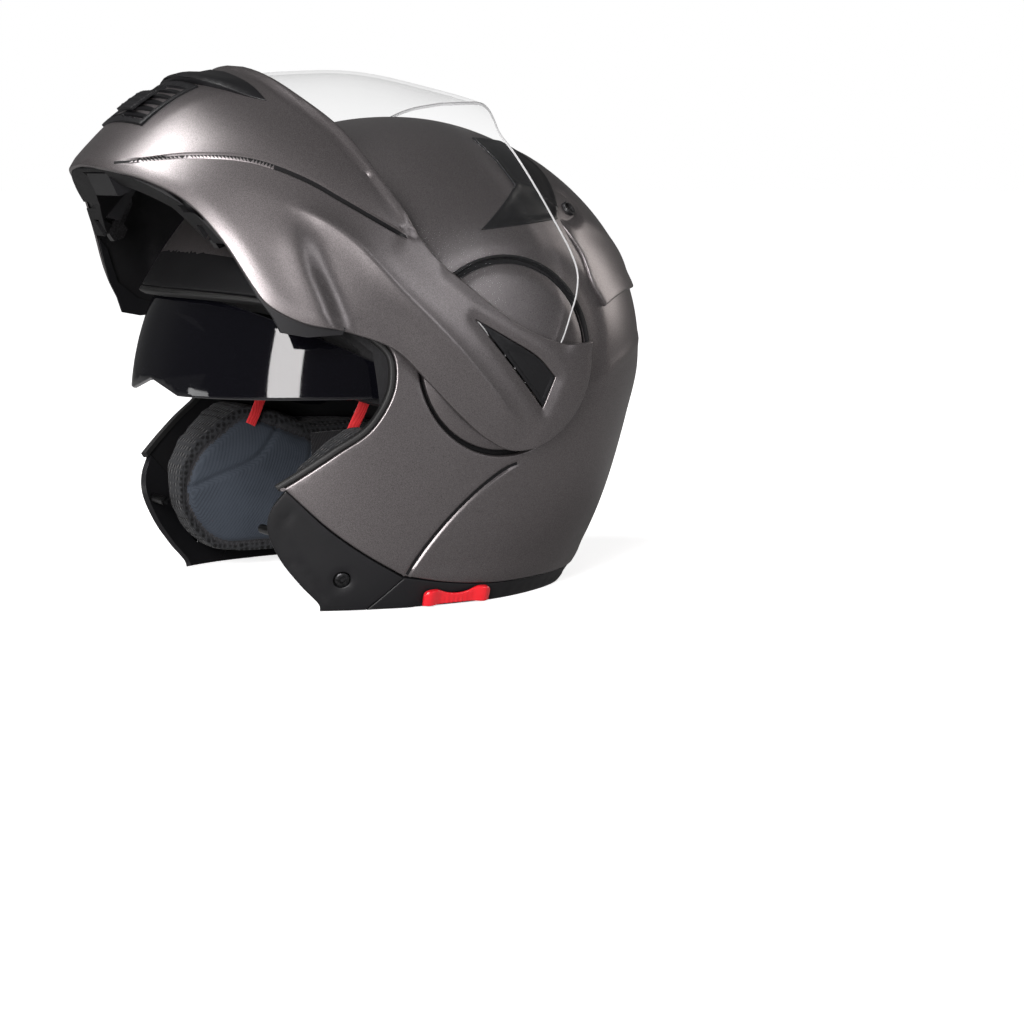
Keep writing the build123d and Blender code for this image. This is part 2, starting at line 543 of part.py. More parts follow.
# ================================================================= chin vent, its shutter, black peak piece
with BuildPart() as front_vent_grille:
    add(chin_body(2.6, 2.6))
    add(chin_body(0.2, 0.2), mode=Mode.SUBTRACT)
    add(prism([(-166, 256), (-190, 274), (-160, 306), (-138, 279)], -27, 27), mode=Mode.INTERSECT)
front_vent_grille.part.label = "front_vent_grille"
export_step(front_vent_grille.part, "parts/front_vent_grille.step")
with BuildPart() as front_vent_slider:
    add(chin_body(4.8, 4.8))
    add(chin_body(3.0, 3.0), mode=Mode.SUBTRACT)
    add(prism([(-160, 254), (-186, 280), (-178, 288), (-152, 262)], -10, 10), mode=Mode.INTERSECT)
front_vent_slider.part.label = "front_vent_slider"
export_step(front_vent_slider.part, "parts/front_vent_slider.step")
with BuildPart() as peak_trim:
    add(chin_body(4.2, 4.2))
    add(chin_body(0.2, 0.2), mode=Mode.SUBTRACT)
    add(prism([(-149, 310), (-141, 285), (-128, 277.5), (-113, 272.5), (-116, 282), (-121, 310)], -60, 60), mode=Mode.INTERSECT)
peak_trim.part.label = "peak_trim"
export_step(peak_trim.part, "parts/peak_trim.step")

# ================================================================= clear visor and its hubs
V_OUT = blob(VISOR_A, VISOR_B, CHIN_N)
V_INN = blob(VISOR_A - VISOR_T, lambda p: VISOR_B(p) - VISOR_T, CHIN_N)
V_TOP = [(44, 300), (42, 278), (38, 274), (31, 271), (24, 264), (20, 256), (22.5, 246), (27.5, 229), (35, 209), (43.5, 190), (46, 180), (44, 169), (39, 158), (30, 140), (13, 124), (0, 120.5), (-13, 128), (-16, 148), (-46, 178), (-57, 200)]
with BuildPart() as clear_visor:
    add(V_OUT)
    add(V_INN, mode=Mode.SUBTRACT)
    edge = shifted(SEAM, 1.3)
    add(prism(V_TOP + edge[::-1] + [(-110, 330), (44, 330)], -150, 150), mode=Mode.INTERSECT)
    add(disc(PIN_R + RUN, -150, 150), mode=Mode.SUBTRACT)
clear_visor.part.label = "clear_visor"
export_step(clear_visor.part, "parts/clear_visor.step")
with BuildPart() as visor_hubs:
    for x0, x1 in ((120.98, 122.87), (-122.87, -120.98)):
        add(disc(13, x0, x1))
        add(disc(PIN_R + RUN, x0, x1), mode=Mode.SUBTRACT)
visor_hubs.part.label = "visor_hubs"
export_step(visor_hubs.part, "parts/visor_hubs.step")

# ================================================================= drop-down sun visor
with BuildPart() as sun_visor:
    add(blob(SUN_A, lambda p: SUN_B, two4, zc=SUN_Z))
    add(blob(SUN_A - SUN_T, lambda p: SUN_B - SUN_T, two4, zc=SUN_Z), mode=Mode.SUBTRACT)
    up = math.tan(math.radians(26.0))
    add(prism([(-190, 114), (-62, 114), (-24, 95), (-8, 91.5), (4, 92), (9, 100), (6, 107), (-8, SUN_Z + 12), (-54, SUN_Z + 54 * up), (-190, SUN_Z + 190 * up)], -120, 120), mode=Mode.INTERSECT)
    add(disc(3.0 + RUN, -120, 120, 0, SUN_Z), mode=Mode.SUBTRACT)
sun_visor.part.label = "sun_visor"
export_step(sun_visor.part, "parts/sun_visor.step")
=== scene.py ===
import bpy
import math
import numpy as np
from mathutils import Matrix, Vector
from mathutils.geometry import delaunay_2d_cdt


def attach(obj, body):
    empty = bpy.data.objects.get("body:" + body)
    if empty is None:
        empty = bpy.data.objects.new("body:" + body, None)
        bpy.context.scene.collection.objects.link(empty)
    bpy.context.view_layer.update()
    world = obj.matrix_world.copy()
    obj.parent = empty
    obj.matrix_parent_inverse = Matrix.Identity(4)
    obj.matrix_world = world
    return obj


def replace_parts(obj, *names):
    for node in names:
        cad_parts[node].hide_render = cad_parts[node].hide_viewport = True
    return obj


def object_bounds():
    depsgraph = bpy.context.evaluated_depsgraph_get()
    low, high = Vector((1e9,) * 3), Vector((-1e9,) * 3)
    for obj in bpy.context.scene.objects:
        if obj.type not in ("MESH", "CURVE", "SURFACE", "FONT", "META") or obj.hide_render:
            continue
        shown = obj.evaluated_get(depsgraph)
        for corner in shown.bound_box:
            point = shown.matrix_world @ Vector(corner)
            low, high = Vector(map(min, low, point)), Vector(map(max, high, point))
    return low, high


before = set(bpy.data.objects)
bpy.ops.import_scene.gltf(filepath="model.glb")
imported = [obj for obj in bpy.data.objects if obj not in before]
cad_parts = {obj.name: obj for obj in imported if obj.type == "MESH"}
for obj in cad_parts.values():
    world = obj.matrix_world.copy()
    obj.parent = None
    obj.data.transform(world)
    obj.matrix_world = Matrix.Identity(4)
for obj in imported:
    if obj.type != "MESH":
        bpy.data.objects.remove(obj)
cad_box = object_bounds()

# Millimetres in the arithmetic, metres in Blender. Face towards -Y, rider's left +X, +Z up.
MM = 0.001
ZP = 135.0          # height of the hinge axis
FLIP = 64.0
R0 = 180.0          # radius of the flat map of one half of a surface


# ================================================================ surface family
def periodic(knots):
    """Periodic cubic through (degrees, value) knots, on arrays."""
    ks = sorted(knots)
    n = len(ks)
    ph = np.array([k[0] for k in ks], float)
    v = np.array([k[1] for k in ks], float)
    h = np.diff(np.r_[ph, ph[0] + 360])
    A = np.zeros((n, n))
    B = np.zeros(n)
    for i in range(n):
        A[i, (i - 1) % n] = h[i - 1]
        A[i, i] = 2 * (h[i - 1] + h[i])
        A[i, (i + 1) % n] = h[i]
        B[i] = 6 * ((v[(i + 1) % n] - v[i]) / h[i] - (v[i] - v[i - 1]) / h[i - 1])
    M = np.linalg.solve(A, B)

    def f(x):
        x = (np.asarray(x, float) - ph[0]) % 360 + ph[0]
        i = np.clip(np.searchsorted(ph, x, side="right") - 1, 0, n - 1)
        j = (i + 1) % n
        H = h[i]
        t = x - ph[i]
        return (M[i] * (H - t) ** 3 + M[j] * t ** 3) / (6 * H) + (v[i] / H - M[i] * H / 6) * (H - t) + (v[j] / H - M[j] * H / 6) * t

    return f


SHELL_B = periodic([(-120, 162), (-102, 185), (-88, 214), (-72, 228), (-60, 226), (-45, 207), (-30, 193), (-5, 172), (14.6, 152.5), (30, 143), (50, 136), (72.8, 131.4), (98.8, 127.4), (122, 125), (140, 127), (160, 130.5), (183, 132.5), (207, 135), (225, 147)])
CHIN_B = periodic([(-30, 234), (0, 235), (13, 232), (29, 220.5), (44, 206), (57, 188), (74, 171), (95, 158), (130, 150), (180, 150), (240, 172), (290, 208)])
VISOR_B = periodic([(0, 222), (30, 206), (45, 193), (57, 181), (65.7, 170), (75.9, 160.5), (88.2, 150.3), (101, 145.5), (115, 144.5), (150, 144), (200, 146), (260, 166), (310, 198)])
HEAD_B = periodic([(-90, 150), (-60, 120), (-20, 104), (14, 104), (30, 105), (50, 102), (73, 98.5), (99, 97), (122, 97), (140, 98), (160, 101), (183, 104), (207, 108), (231, 122)])
CHIN_N = periodic([(-20, 2.15), (13, 2.13), (30, 2.06), (45, 2.05), (57, 2.08), (80, 2.22), (120, 2.4), (180, 2.4), (240, 2.4), (290, 2.3)])


def const(v):
    return lambda p: np.full(np.shape(p), float(v))


class Surf:
    """|x|/a and r/b(phi) superellipse; r and phi in side view about (0, zc)."""

    def __init__(s, a, b, n, zc=ZP, db=0.0):
        s.a, s.b0, s.n, s.zc, s.db = a, b, n, zc, db

    def b(s, p):
        return s.b0(p) + s.db

    def off(s, d, db=None):
        return Surf(s.a + d, s.b0, s.n, s.zc, s.db + (d if db is None else db))

    def uv(s, yz):
        yz = np.asarray(yz, float)
        y, w = yz[:, 0], yz[:, 1] - s.zc
        ph = np.arctan2(w, -y)
        r = np.hypot(y, w)
        d = np.degrees(ph)
        n = s.n(d)
        q = np.clip(r / s.b(d), 0, 1)
        x = s.a * (1 - q ** n) ** (1 / n)
        lam = np.arctan2(x, r)
        m = R0 * (1 - lam / (math.pi / 2))
        return np.stack([m * np.cos(ph), m * np.sin(ph)], -1)

    def pos(s, U):
        q = np.hypot(U[:, 0], U[:, 1]) / R0
        ph = np.arctan2(U[:, 1], U[:, 0])
        lam = (1 - q) * math.pi / 2
        d = np.degrees(ph)
        n = s.n(d)
        sl, cl = np.sin(lam), np.cos(lam)
        rho = 1 / ((np.abs(sl) / s.a) ** n + (np.abs(cl) / s.b(d)) ** n) ** (1 / n)
        return np.stack([rho * sl, -rho * cl * np.cos(ph), s.zc + rho * cl * np.sin(ph)], -1)

    def nrm(s, U):
        e = 0.4
        du = s.pos(U + [e, 0]) - s.pos(U - [e, 0])
        dv = s.pos(U + [0, e]) - s.pos(U - [0, e])
        n = np.cross(dv, du)
        n /= np.linalg.norm(n, axis=1)[:, None] + 1e-12
        c = np.array([0, 0, s.zc])
        sg = np.sign(((s.pos(U) - c) * n).sum(1))
        return n * sg[:, None]


SHELL = Surf(121.0, SHELL_B, const(2.4))
CHIN = Surf(130.0, CHIN_B, CHIN_N)
VISOR = Surf(127.0, VISOR_B, CHIN_N)
HEAD = Surf(90.0, HEAD_B, const(2.3))
SUN = Surf(110.0, const(158.4), const(2.4), zc=100.0)


# ================================================================ outlines, side view (y, z)
EYE = [(-175, 174), (-152, 172.5), (-120, 168), (-92, 158), (-76, 149), (-67, 139), (-66, 124), (-70, 112), (-80, 98), (-96, 87), (-110, 77), (-124, 67)]
TRIM_TOP = [(-121, 68), (-99, 46), (-79, 31), (-57, 17.7)]
TRIM_FRONT = [(-99, 0), (-99.5, 3), (-110, 15), (-121, 30), (-128, 47), (-127, 57), (-121, 68)]
BAND_TOP = [(-57, 18), (-31, 13), (-4, 10.2), (26, 9.6), (68, 10), (112, 12.5), (150, 15)]
SEAM = [(-110, 297), (-107, 292), (-102.5, 286), (-95, 275), (-81, 257), (-69, 233), (-56, 207)]
STEP = [(-37, 183), (3, 153), (32, 142), (60, 142.5)]
CHIN_LOW = [(-194, 238), (-180, 231), (-166, 220), (-154, 201), (-142, 176), (-136, 167), (-119, 157), (-96, 152), (-70, 142), (-51, 124), (-34, 107), (-16, 92)]
ARM_END = [(0, 84.5), (17, 86), (32, 94.5), (44, 108), (50.5, 124), (51.5, 135)]
TRI = [(-24, 157), (-4, 146), (15, 135), (26, 124), (18, 107), (4, 124)]
V_TOP = [(44, 300), (42, 278), (38, 274), (31, 271), (24, 264), (20, 256), (22.5, 246), (27.5, 229), (35, 209), (43.5, 190), (46, 180), (44, 169), (39, 158), (30, 140), (13, 124), (0, 120.5), (-13, 128), (-16, 148), (-46, 178), (-57, 200)]
VENT = [(12, 252), (20, 226), (-11, 203), (44, 208), (50, 222), (52, 236), (40, 250)]
SPOIL = [(45.5, 207.5), (51, 221.5), (53.5, 236), (44, 252), (60, 262), (110, 240), (150, 168), (92, 167), (68, 160), (58, 186)]


def smooth(pts, h=2.0, closed=False, corners=()):
    """Centripetal Catmull-Rom through the points, sampled every h; corners stay sharp."""
    P = [np.array(p, float) for p in pts]
    n = len(P)
    segs = n if closed else n - 1
    corners = set(c % n for c in corners)
    if not closed:
        corners |= {0, n - 1}
    out = []
    for i in range(segs):
        p1, p2 = P[i], P[(i + 1) % n]
        p0 = P[(i - 1) % n] if i not in corners else 2 * p1 - p2
        j = (i + 1) % n
        p3 = P[(i + 2) % n] if j not in corners else 2 * p2 - p1
        L = np.linalg.norm(p2 - p1)
        k = max(1, int(math.ceil(L / h)))

        def kn(a, b):
            return max(math.sqrt(np.linalg.norm(b - a)), 1e-4)
        t0 = 0.0
        t1 = t0 + kn(p0, p1)
        t2 = t1 + kn(p1, p2)
        t3 = t2 + kn(p2, p3)
        for s in range(k):
            t = t1 + (t2 - t1) * s / k
            A1 = (t1 - t) / (t1 - t0) * p0 + (t - t0) / (t1 - t0) * p1
            A2 = (t2 - t) / (t2 - t1) * p1 + (t - t1) / (t2 - t1) * p2
            A3 = (t3 - t) / (t3 - t2) * p2 + (t - t2) / (t3 - t2) * p3
            B1 = (t2 - t) / (t2 - t0) * A1 + (t - t0) / (t2 - t0) * A2
            B2 = (t3 - t) / (t3 - t1) * A2 + (t - t1) / (t3 - t1) * A3
            out.append((t2 - t) / (t2 - t1) * B1 + (t - t1) / (t2 - t1) * B2)
    if not closed:
        out.append(P[-1])
    return np.array(out)


def line(pts, h=2.0, closed=False):
    """Straight runs between the points, sampled every h."""
    P = [np.array(p, float) for p in pts]
    out = []
    n = len(P)
    for i in range(n if closed else n - 1):
        a, b = P[i], P[(i + 1) % n]
        k = max(1, int(math.ceil(np.linalg.norm(b - a) / h)))
        out += [a + (b - a) * s / k for s in range(k)]
    if not closed:
        out.append(P[-1])
    return np.array(out)


def circle(y, z, r, k=96):
    t = np.arange(k) * 2 * math.pi / k
    return np.stack([y + r * np.cos(t), z + r * np.sin(t)], -1)


def join(*parts):
    return np.concatenate([np.asarray(p, float) for p in parts])


def turned(pts, deg, zc=ZP):
    """Side-view points turned about the hinge by deg; +FLIP closes the chin bar."""
    p = np.asarray(pts, float)
    t = math.radians(deg)
    y, w = p[..., 0], p[..., 1] - zc
    return np.stack([y * math.cos(t) - w * math.sin(t), y * math.sin(t) + w * math.cos(t) + zc], -1)


def opened(pts):
    return turned(pts, -FLIP)


def closed_(pts):
    return turned(pts, FLIP)


def shift(points, d):
    """Open line moved sideways by d, to the left of its direction of travel."""
    P = np.asarray(points, float)
    T = np.gradient(P, axis=0)
    T /= np.linalg.norm(T, axis=1)[:, None] + 1e-9
    return P + np.stack([-T[:, 1], T[:, 0]], -1) * d


# ================================================================ plane geometry on the map
def dedupe(L, eps=0.15, closed=True):
    out = [L[0]]
    for p in L[1:]:
        if np.linalg.norm(p - out[-1]) > eps:
            out.append(p)
    if closed and np.linalg.norm(out[0] - out[-1]) <= eps:
        out.pop()
    return np.array(out)


def seg_dist(P, L, closed=False):
    """Distance from points to a polyline, with the side (+ left of travel) and the arc length there."""
    A = L if closed else L[:-1]
    B = np.roll(L, -1, axis=0) if closed else L[1:]
    E = B - A
    LL = (E ** 2).sum(1) + 1e-12
    cum = np.r_[0, np.cumsum(np.sqrt(LL))][:-1]
    D = np.empty(len(P))
    S = np.empty(len(P))
    T = np.empty(len(P))
    for k in range(0, len(P), 3000):
        Q = P[k:k + 3000]
        W = Q[:, None, :] - A[None]
        t = np.clip((W * E[None]).sum(2) / LL[None], 0, 1)
        d = W - t[..., None] * E[None]
        dd = (d ** 2).sum(2)
        j = dd.argmin(1)
        i = np.arange(len(Q))
        D[k:k + 3000] = np.sqrt(dd[i, j])
        cr = E[j, 0] * d[i, j, 1] - E[j, 1] * d[i, j, 0]
        S[k:k + 3000] = np.sign(cr) + (cr == 0)
        T[k:k + 3000] = cum[j] + t[i, j] * np.sqrt(LL[j])
    return D, S, T


def inside(P, loops):
    c = np.zeros(len(P), bool)
    for L in loops:
        A, B = L, np.roll(L, -1, axis=0)
        for k in range(0, len(P), 4000):
            x, y = P[k:k + 4000, 0][:, None], P[k:k + 4000, 1][:, None]
            cond = ((A[:, 1] > y) != (B[:, 1] > y))
            xi = (B[:, 0] - A[:, 0]) * (y - A[:, 1]) / (B[:, 1] - A[:, 1] + 1e-15) + A[:, 0]
            c[k:k + 4000] ^= ((cond & (x < xi)).sum(1) % 2).astype(bool)
    return c


def sstep(a, b, x):
    t = np.clip((x - a) / (b - a), 0, 1)
    return t * t * (3 - 2 * t)


def triangulate(loops, feats=(), h=2.4, extra=()):
    """Triangles of the region inside loops[0] and outside the others; feats are lines kept as edges."""
    lo = np.min(loops[0], axis=0)
    hi = np.max(loops[0], axis=0)
    pts = []
    v = lo[1]
    k = 0
    while v < hi[1]:
        u = np.arange(lo[0] + (h / 2 if k % 2 else 0), hi[0], h)
        pts.append(np.stack([u, np.full(len(u), v)], -1))
        v += h * 0.866
        k += 1
    G = np.concatenate(pts)
    G = G[inside(G, loops)]
    for L in loops:
        D, _, _ = seg_dist(G, L, True)
        G = G[D > 0.55 * h]
    for L in feats:
        D, _, _ = seg_dist(G, L)
        G = G[D > 0.5 * h]
    V = [Vector(p) for p in G]
    E = []
    for L in loops:
        n0 = len(V)
        V += [Vector(p) for p in L]
        E += [(n0 + i, n0 + (i + 1) % len(L)) for i in range(len(L))]
    for L in feats:
        n0 = len(V)
        V += [Vector(p) for p in L]
        E += [(n0 + i, n0 + i + 1) for i in range(len(L) - 1)]
    r = delaunay_2d_cdt(V, E, [], 0, 1e-5)
    X = np.array([(p[0], p[1]) for p in r[0]])
    F = np.array([f for f in r[2] if len(f) == 3])
    C = X[F].mean(1)
    F = F[inside(C, loops)]
    area = (X[F[:, 1], 0] - X[F[:, 0], 0]) * (X[F[:, 2], 1] - X[F[:, 0], 1]) - (X[F[:, 1], 1] - X[F[:, 0], 1]) * (X[F[:, 2], 0] - X[F[:, 0], 0])
    F = F[np.abs(area) > 1e-7]
    area = area[np.abs(area) > 1e-7]
    F[area < 0] = F[area < 0][:, ::-1]
    used = np.unique(F)
    remap = -np.ones(len(X), int)
    remap[used] = np.arange(len(used))
    return X[used], remap[F]


def boundary_edges(F):
    d = {}
    for a, b, c in F:
        for e in ((a, b), (b, c), (c, a)):
            d[e] = 1
    return [e for e in d if (e[1], e[0]) not in d]


# ================================================================ meshes
def new_object(name, V, F, mats=(), fmat=None, smooth_angle=40.0):
    me = bpy.data.meshes.new(name)
    me.from_pydata((np.asarray(V) * MM).tolist(), [], [list(map(int, f)) for f in F])
    for m in mats:
        me.materials.append(m)
    if fmat is not None and len(fmat) == len(me.polygons):
        me.polygons.foreach_set("material_index", np.asarray(fmat, np.int32))
    me.validate(verbose=False)
    me.polygons.foreach_set("use_smooth", [True] * len(me.polygons))
    if smooth_angle is not None and smooth_angle < 179:
        me.set_sharp_from_angle(angle=math.radians(smooth_angle))
    me.update()
    o = bpy.data.objects.new(name, me)
    bpy.context.scene.collection.objects.link(o)
    return o


def mirror_weld(V, F, tags):
    """Adds the half with -x; points on x = 0 are shared."""
    mid = np.abs(V[:, 0]) < 1e-4
    idx = np.where(mid, np.arange(len(V)), 0)
    extra = np.where(~mid)[0]
    idx[extra] = len(V) + np.arange(len(extra))
    W = V[extra] * [-1, 1, 1]
    F2 = [[idx[i] for i in f][::-1] for f in F]
    return np.concatenate([V, W]), list(F) + F2, list(tags) + list(tags)


def panel_data(surf, loops, feats=(), h=2.4, disp=None, thick=2.5, edge=0.8, rings=4, inner_disp=None, mid_ok=True):
    """One half (x >= 0) of a shell panel: outer face, rounded rim, inner face."""
    U, F = triangulate(loops, feats, h)
    P = surf.pos(U)
    N = surf.nrm(U)
    q = np.hypot(U[:, 0], U[:, 1]) / R0
    mid = q > 1 - 1e-5 if mid_ok else np.zeros(len(U), bool)
    P[mid, 0] = 0
    N[mid, 0] = 0
    N /= np.linalg.norm(N, axis=1)[:, None]
    f0 = F[0]
    fn = np.cross(P[f0[1]] - P[f0[0]], P[f0[2]] - P[f0[0]])
    if fn @ N[f0[0]] < 0:
        F = F[:, ::-1]
    d = np.zeros(len(U)) if disp is None else disp(U, P)
    O = P + N * d[:, None]
    be = [e for e in boundary_edges(F) if not (mid[e[0]] and mid[e[1]])]
    T = np.zeros((len(U), 3))
    for a, b in be:
        t = np.cross(O[b] - O[a], N[a])
        t /= np.linalg.norm(t) + 1e-9
        T[a] += t
        T[b] += t
    ring_idx = sorted({i for e in be for i in e})
    T[mid, 0] = 0
    L = np.linalg.norm(T, axis=1)
    T[L > 0] /= L[L > 0][:, None]
    nxt = {}
    base = O.copy()
    O[ring_idx] -= T[ring_idx] * edge
    V = [O]
    FF = [list(f) for f in F]
    tag = [0] * len(F)
    prev = {i: i for i in ring_idx}
    cnt = len(O)
    for k in range(1, rings + 1):
        th = math.pi / 2 * k / rings
        X = O[ring_idx] + T[ring_idx] * edge * math.sin(th) - N[ring_idx] * edge * (1 - math.cos(th))
        V.append(X)
        cur = {i: cnt + j for j, i in enumerate(ring_idx)}
        cnt += len(ring_idx)
        for a, b in be:
            FF.append([prev[b], prev[a], cur[a], cur[b]])
            tag.append(1)
        prev = cur
    di = d * 0 if inner_disp is None else inner_disp(U, P, d)
    I = P + N * di[:, None] - N * thick
    V.append(I)
    for a, b in be:
        FF.append([prev[b], prev[a], cnt + a, cnt + b])
        tag.append(1)
    for f in F:
        FF.append([cnt + int(f[2]), cnt + int(f[1]), cnt + int(f[0])])
        tag.append(2)
    return np.concatenate(V), FF, tag


def finish_piece(o, body, nodes=()):
    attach(o, body)
    if nodes:
        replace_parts(o, *nodes)
    return o


def panel(name, surf, loops, mats, body, nodes=(), slot=None, sym=True, side=1, angle=38.0, matmap=(0, 0, 0), **kw):
    V, F, tag = panel_data(surf, loops, **kw)
    if sym:
        V, F, tag = mirror_weld(V, F, tag)
    elif side < 0:
        V = V * [-1, 1, 1]
        F = [f[::-1] for f in F]
    o = new_object(name, V, F, mats, [matmap[t] for t in tag], angle)
    if body:
        finish_piece(o, body, nodes)
    return o


# ================================================================ materials
def mat(name):
    m = bpy.data.materials.new(name)
    m.use_nodes = True
    nt = m.node_tree
    for n in list(nt.nodes):
        nt.nodes.remove(n)
    out = nt.nodes.new("ShaderNodeOutputMaterial")
    bs = nt.nodes.new("ShaderNodeBsdfPrincipled")
    nt.links.new(bs.outputs[0], out.inputs[0])
    return m, nt, bs


def coords(nt, scale=(1, 1, 1)):
    tc = nt.nodes.new("ShaderNodeTexCoord")
    mp = nt.nodes.new("ShaderNodeMapping")
    mp.inputs["Scale"].default_value = scale
    nt.links.new(tc.outputs["Object"], mp.inputs["Vector"])
    return mp.outputs["Vector"]


def noise(nt, vec, scale, detail=3.0, rough=0.5):
    n = nt.nodes.new("ShaderNodeTexNoise")
    n.inputs["Scale"].default_value = scale
    n.inputs["Detail"].default_value = detail
    n.inputs["Roughness"].default_value = rough
    nt.links.new(vec, n.inputs["Vector"])
    return n


def ramp(nt, fac, stops):
    r = nt.nodes.new("ShaderNodeValToRGB")
    cr = r.color_ramp
    cr.elements[0].position, cr.elements[0].color = stops[0][0], tuple(stops[0][1]) + (1,)
    cr.elements[1].position, cr.elements[1].color = stops[-1][0], tuple(stops[-1][1]) + (1,)
    for p, c in stops[1:-1]:
        e = cr.elements.new(p)
        e.color = tuple(c) + (1,)
    nt.links.new(fac, r.inputs["Fac"])
    return r.outputs["Color"]


def maprange(nt, val, a, b, c, d):
    m = nt.nodes.new("ShaderNodeMapRange")
    m.inputs["From Min"].default_value = a
    m.inputs["From Max"].default_value = b
    m.inputs["To Min"].default_value = c
    m.inputs["To Max"].default_value = d
    nt.links.new(val, m.inputs["Value"])
    return m.outputs["Result"]


def bump(nt, bs, height, strength, dist, under=None):
    b = nt.nodes.new("ShaderNodeBump")
    b.inputs["Strength"].default_value = strength
    b.inputs["Distance"].default_value = dist
    nt.links.new(height, b.inputs["Height"])
    if under is not None:
        nt.links.new(under, b.inputs["Normal"])
    nt.links.new(b.outputs["Normal"], bs.inputs["Normal"])
    return b.outputs["Normal"]


def paint(name, c0, c1, metallic=0.85, r0=0.36, r1=0.46, coat=0.12):
    m, nt, bs = mat(name)
    v = coords(nt)
    fl = noise(nt, v, 2600.0, 1.0)
    big = noise(nt, v, 9.0, 2.0)
    nt.links.new(ramp(nt, fl.outputs["Fac"], [(0.32, c0), (0.68, c1)]), bs.inputs["Base Color"])
    nt.links.new(maprange(nt, big.outputs["Fac"], 0.3, 0.7, r0, r1), bs.inputs["Roughness"])
    bs.inputs["Metallic"].default_value = metallic
    bs.inputs["Coat Weight"].default_value = coat
    bs.inputs["Coat Roughness"].default_value = 0.32
    bump(nt, bs, fl.outputs["Fac"], 0.10, 0.00008)
    return m


def plastic(name, c0, c1, r0, r1, grain=1400.0, strength=0.12, dist=0.0001, coat=0.0, spec=0.5):
    m, nt, bs = mat(name)
    v = coords(nt)
    g = noise(nt, v, grain, 2.0)
    big = noise(nt, v, 14.0, 3.0)
    nt.links.new(ramp(nt, big.outputs["Fac"], [(0.3, c0), (0.7, c1)]), bs.inputs["Base Color"])
    nt.links.new(maprange(nt, big.outputs["Fac"], 0.3, 0.7, r0, r1), bs.inputs["Roughness"])
    bs.inputs["Specular IOR Level"].default_value = spec
    bs.inputs["Coat Weight"].default_value = coat
    bs.inputs["Coat Roughness"].default_value = 0.05
    bump(nt, bs, g.outputs["Fac"], strength, dist)
    return m


def metal(name, c0, c1, r0, r1, grain=900.0, squeeze=(1, 1, 1)):
    m, nt, bs = mat(name)
    v = coords(nt, squeeze)
    g = noise(nt, v, grain, 2.0)
    nt.links.new(ramp(nt, g.outputs["Fac"], [(0.3, c0), (0.7, c1)]), bs.inputs["Base Color"])
    nt.links.new(maprange(nt, g.outputs["Fac"], 0.3, 0.7, r0, r1), bs.inputs["Roughness"])
    bs.inputs["Metallic"].default_value = 1.0
    bump(nt, bs, g.outputs["Fac"], 0.06, 0.00005)
    return m


def mesh_fabric(name, c0, c1, cell=520.0, depth=0.0006, strength=0.9, sheen=0.25):
    """Open 3-D mesh cloth: rounded holes between raised threads."""
    m, nt, bs = mat(name)
    v = coords(nt)
    vo = nt.nodes.new("ShaderNodeTexVoronoi")
    vo.feature = "F1"
    vo.inputs["Scale"].default_value = cell
    vo.inputs["Randomness"].default_value = 0.25
    nt.links.new(v, vo.inputs["Vector"])
    h = maprange(nt, vo.outputs["Distance"], 0.12, 0.52, 0.0, 1.0)
    nt.links.new(ramp(nt, h, [(0.0, c0), (1.0, c1)]), bs.inputs["Base Color"])
    bs.inputs["Roughness"].default_value = 0.88
    bs.inputs["Specular IOR Level"].default_value = 0.25
    bs.inputs["Sheen Weight"].default_value = sheen
    bs.inputs["Sheen Roughness"].default_value = 0.4
    fz = noise(nt, v, 2400.0, 2.0)
    b1 = nt.nodes.new("ShaderNodeBump")
    b1.inputs["Strength"].default_value = 0.2
    b1.inputs["Distance"].default_value = 0.0002
    nt.links.new(fz.outputs["Fac"], b1.inputs["Height"])
    bump(nt, bs, h, strength, depth, b1.outputs["Normal"])
    return m


def knit(name, c0, c1, scale=900.0, strength=0.5, sheen=0.3, rough=0.8):
    """Fine brushed or knitted cloth: crossed ribs with a little mottling."""
    m, nt, bs = mat(name)
    v = coords(nt)
    hs = []
    for i, rot in enumerate(((0, 0, 0.0), (0, 0, 1.571))):
        mp = nt.nodes.new("ShaderNodeMapping")
        mp.inputs["Rotation"].default_value = (0.6 if i else -0.4, 0.3, rot[2] + 0.3)
        nt.links.new(v, mp.inputs["Vector"])
        w = nt.nodes.new("ShaderNodeTexWave")
        w.inputs["Scale"].default_value = scale / 3.0
        w.inputs["Distortion"].default_value = 0.6
        w.inputs["Detail"].default_value = 1.0
        nt.links.new(mp.outputs["Vector"], w.inputs["Vector"])
        hs.append(w.outputs["Fac"])
    mx = nt.nodes.new("ShaderNodeMath")
    mx.operation = "MULTIPLY"
    nt.links.new(hs[0], mx.inputs[0])
    nt.links.new(hs[1], mx.inputs[1])
    big = noise(nt, v, 40.0, 3.0)
    ad = nt.nodes.new("ShaderNodeMath")
    ad.operation = "ADD"
    nt.links.new(mx.outputs[0], ad.inputs[0])
    nt.links.new(big.outputs["Fac"], ad.inputs[1])
    nt.links.new(ramp(nt, ad.outputs[0], [(0.35, c0), (1.25, c1)]), bs.inputs["Base Color"])
    bs.inputs["Roughness"].default_value = rough
    bs.inputs["Specular IOR Level"].default_value = 0.3
    bs.inputs["Sheen Weight"].default_value = sheen
    bs.inputs["Sheen Roughness"].default_value = 0.35
    bump(nt, bs, mx.outputs[0], strength, 0.0002)
    return m


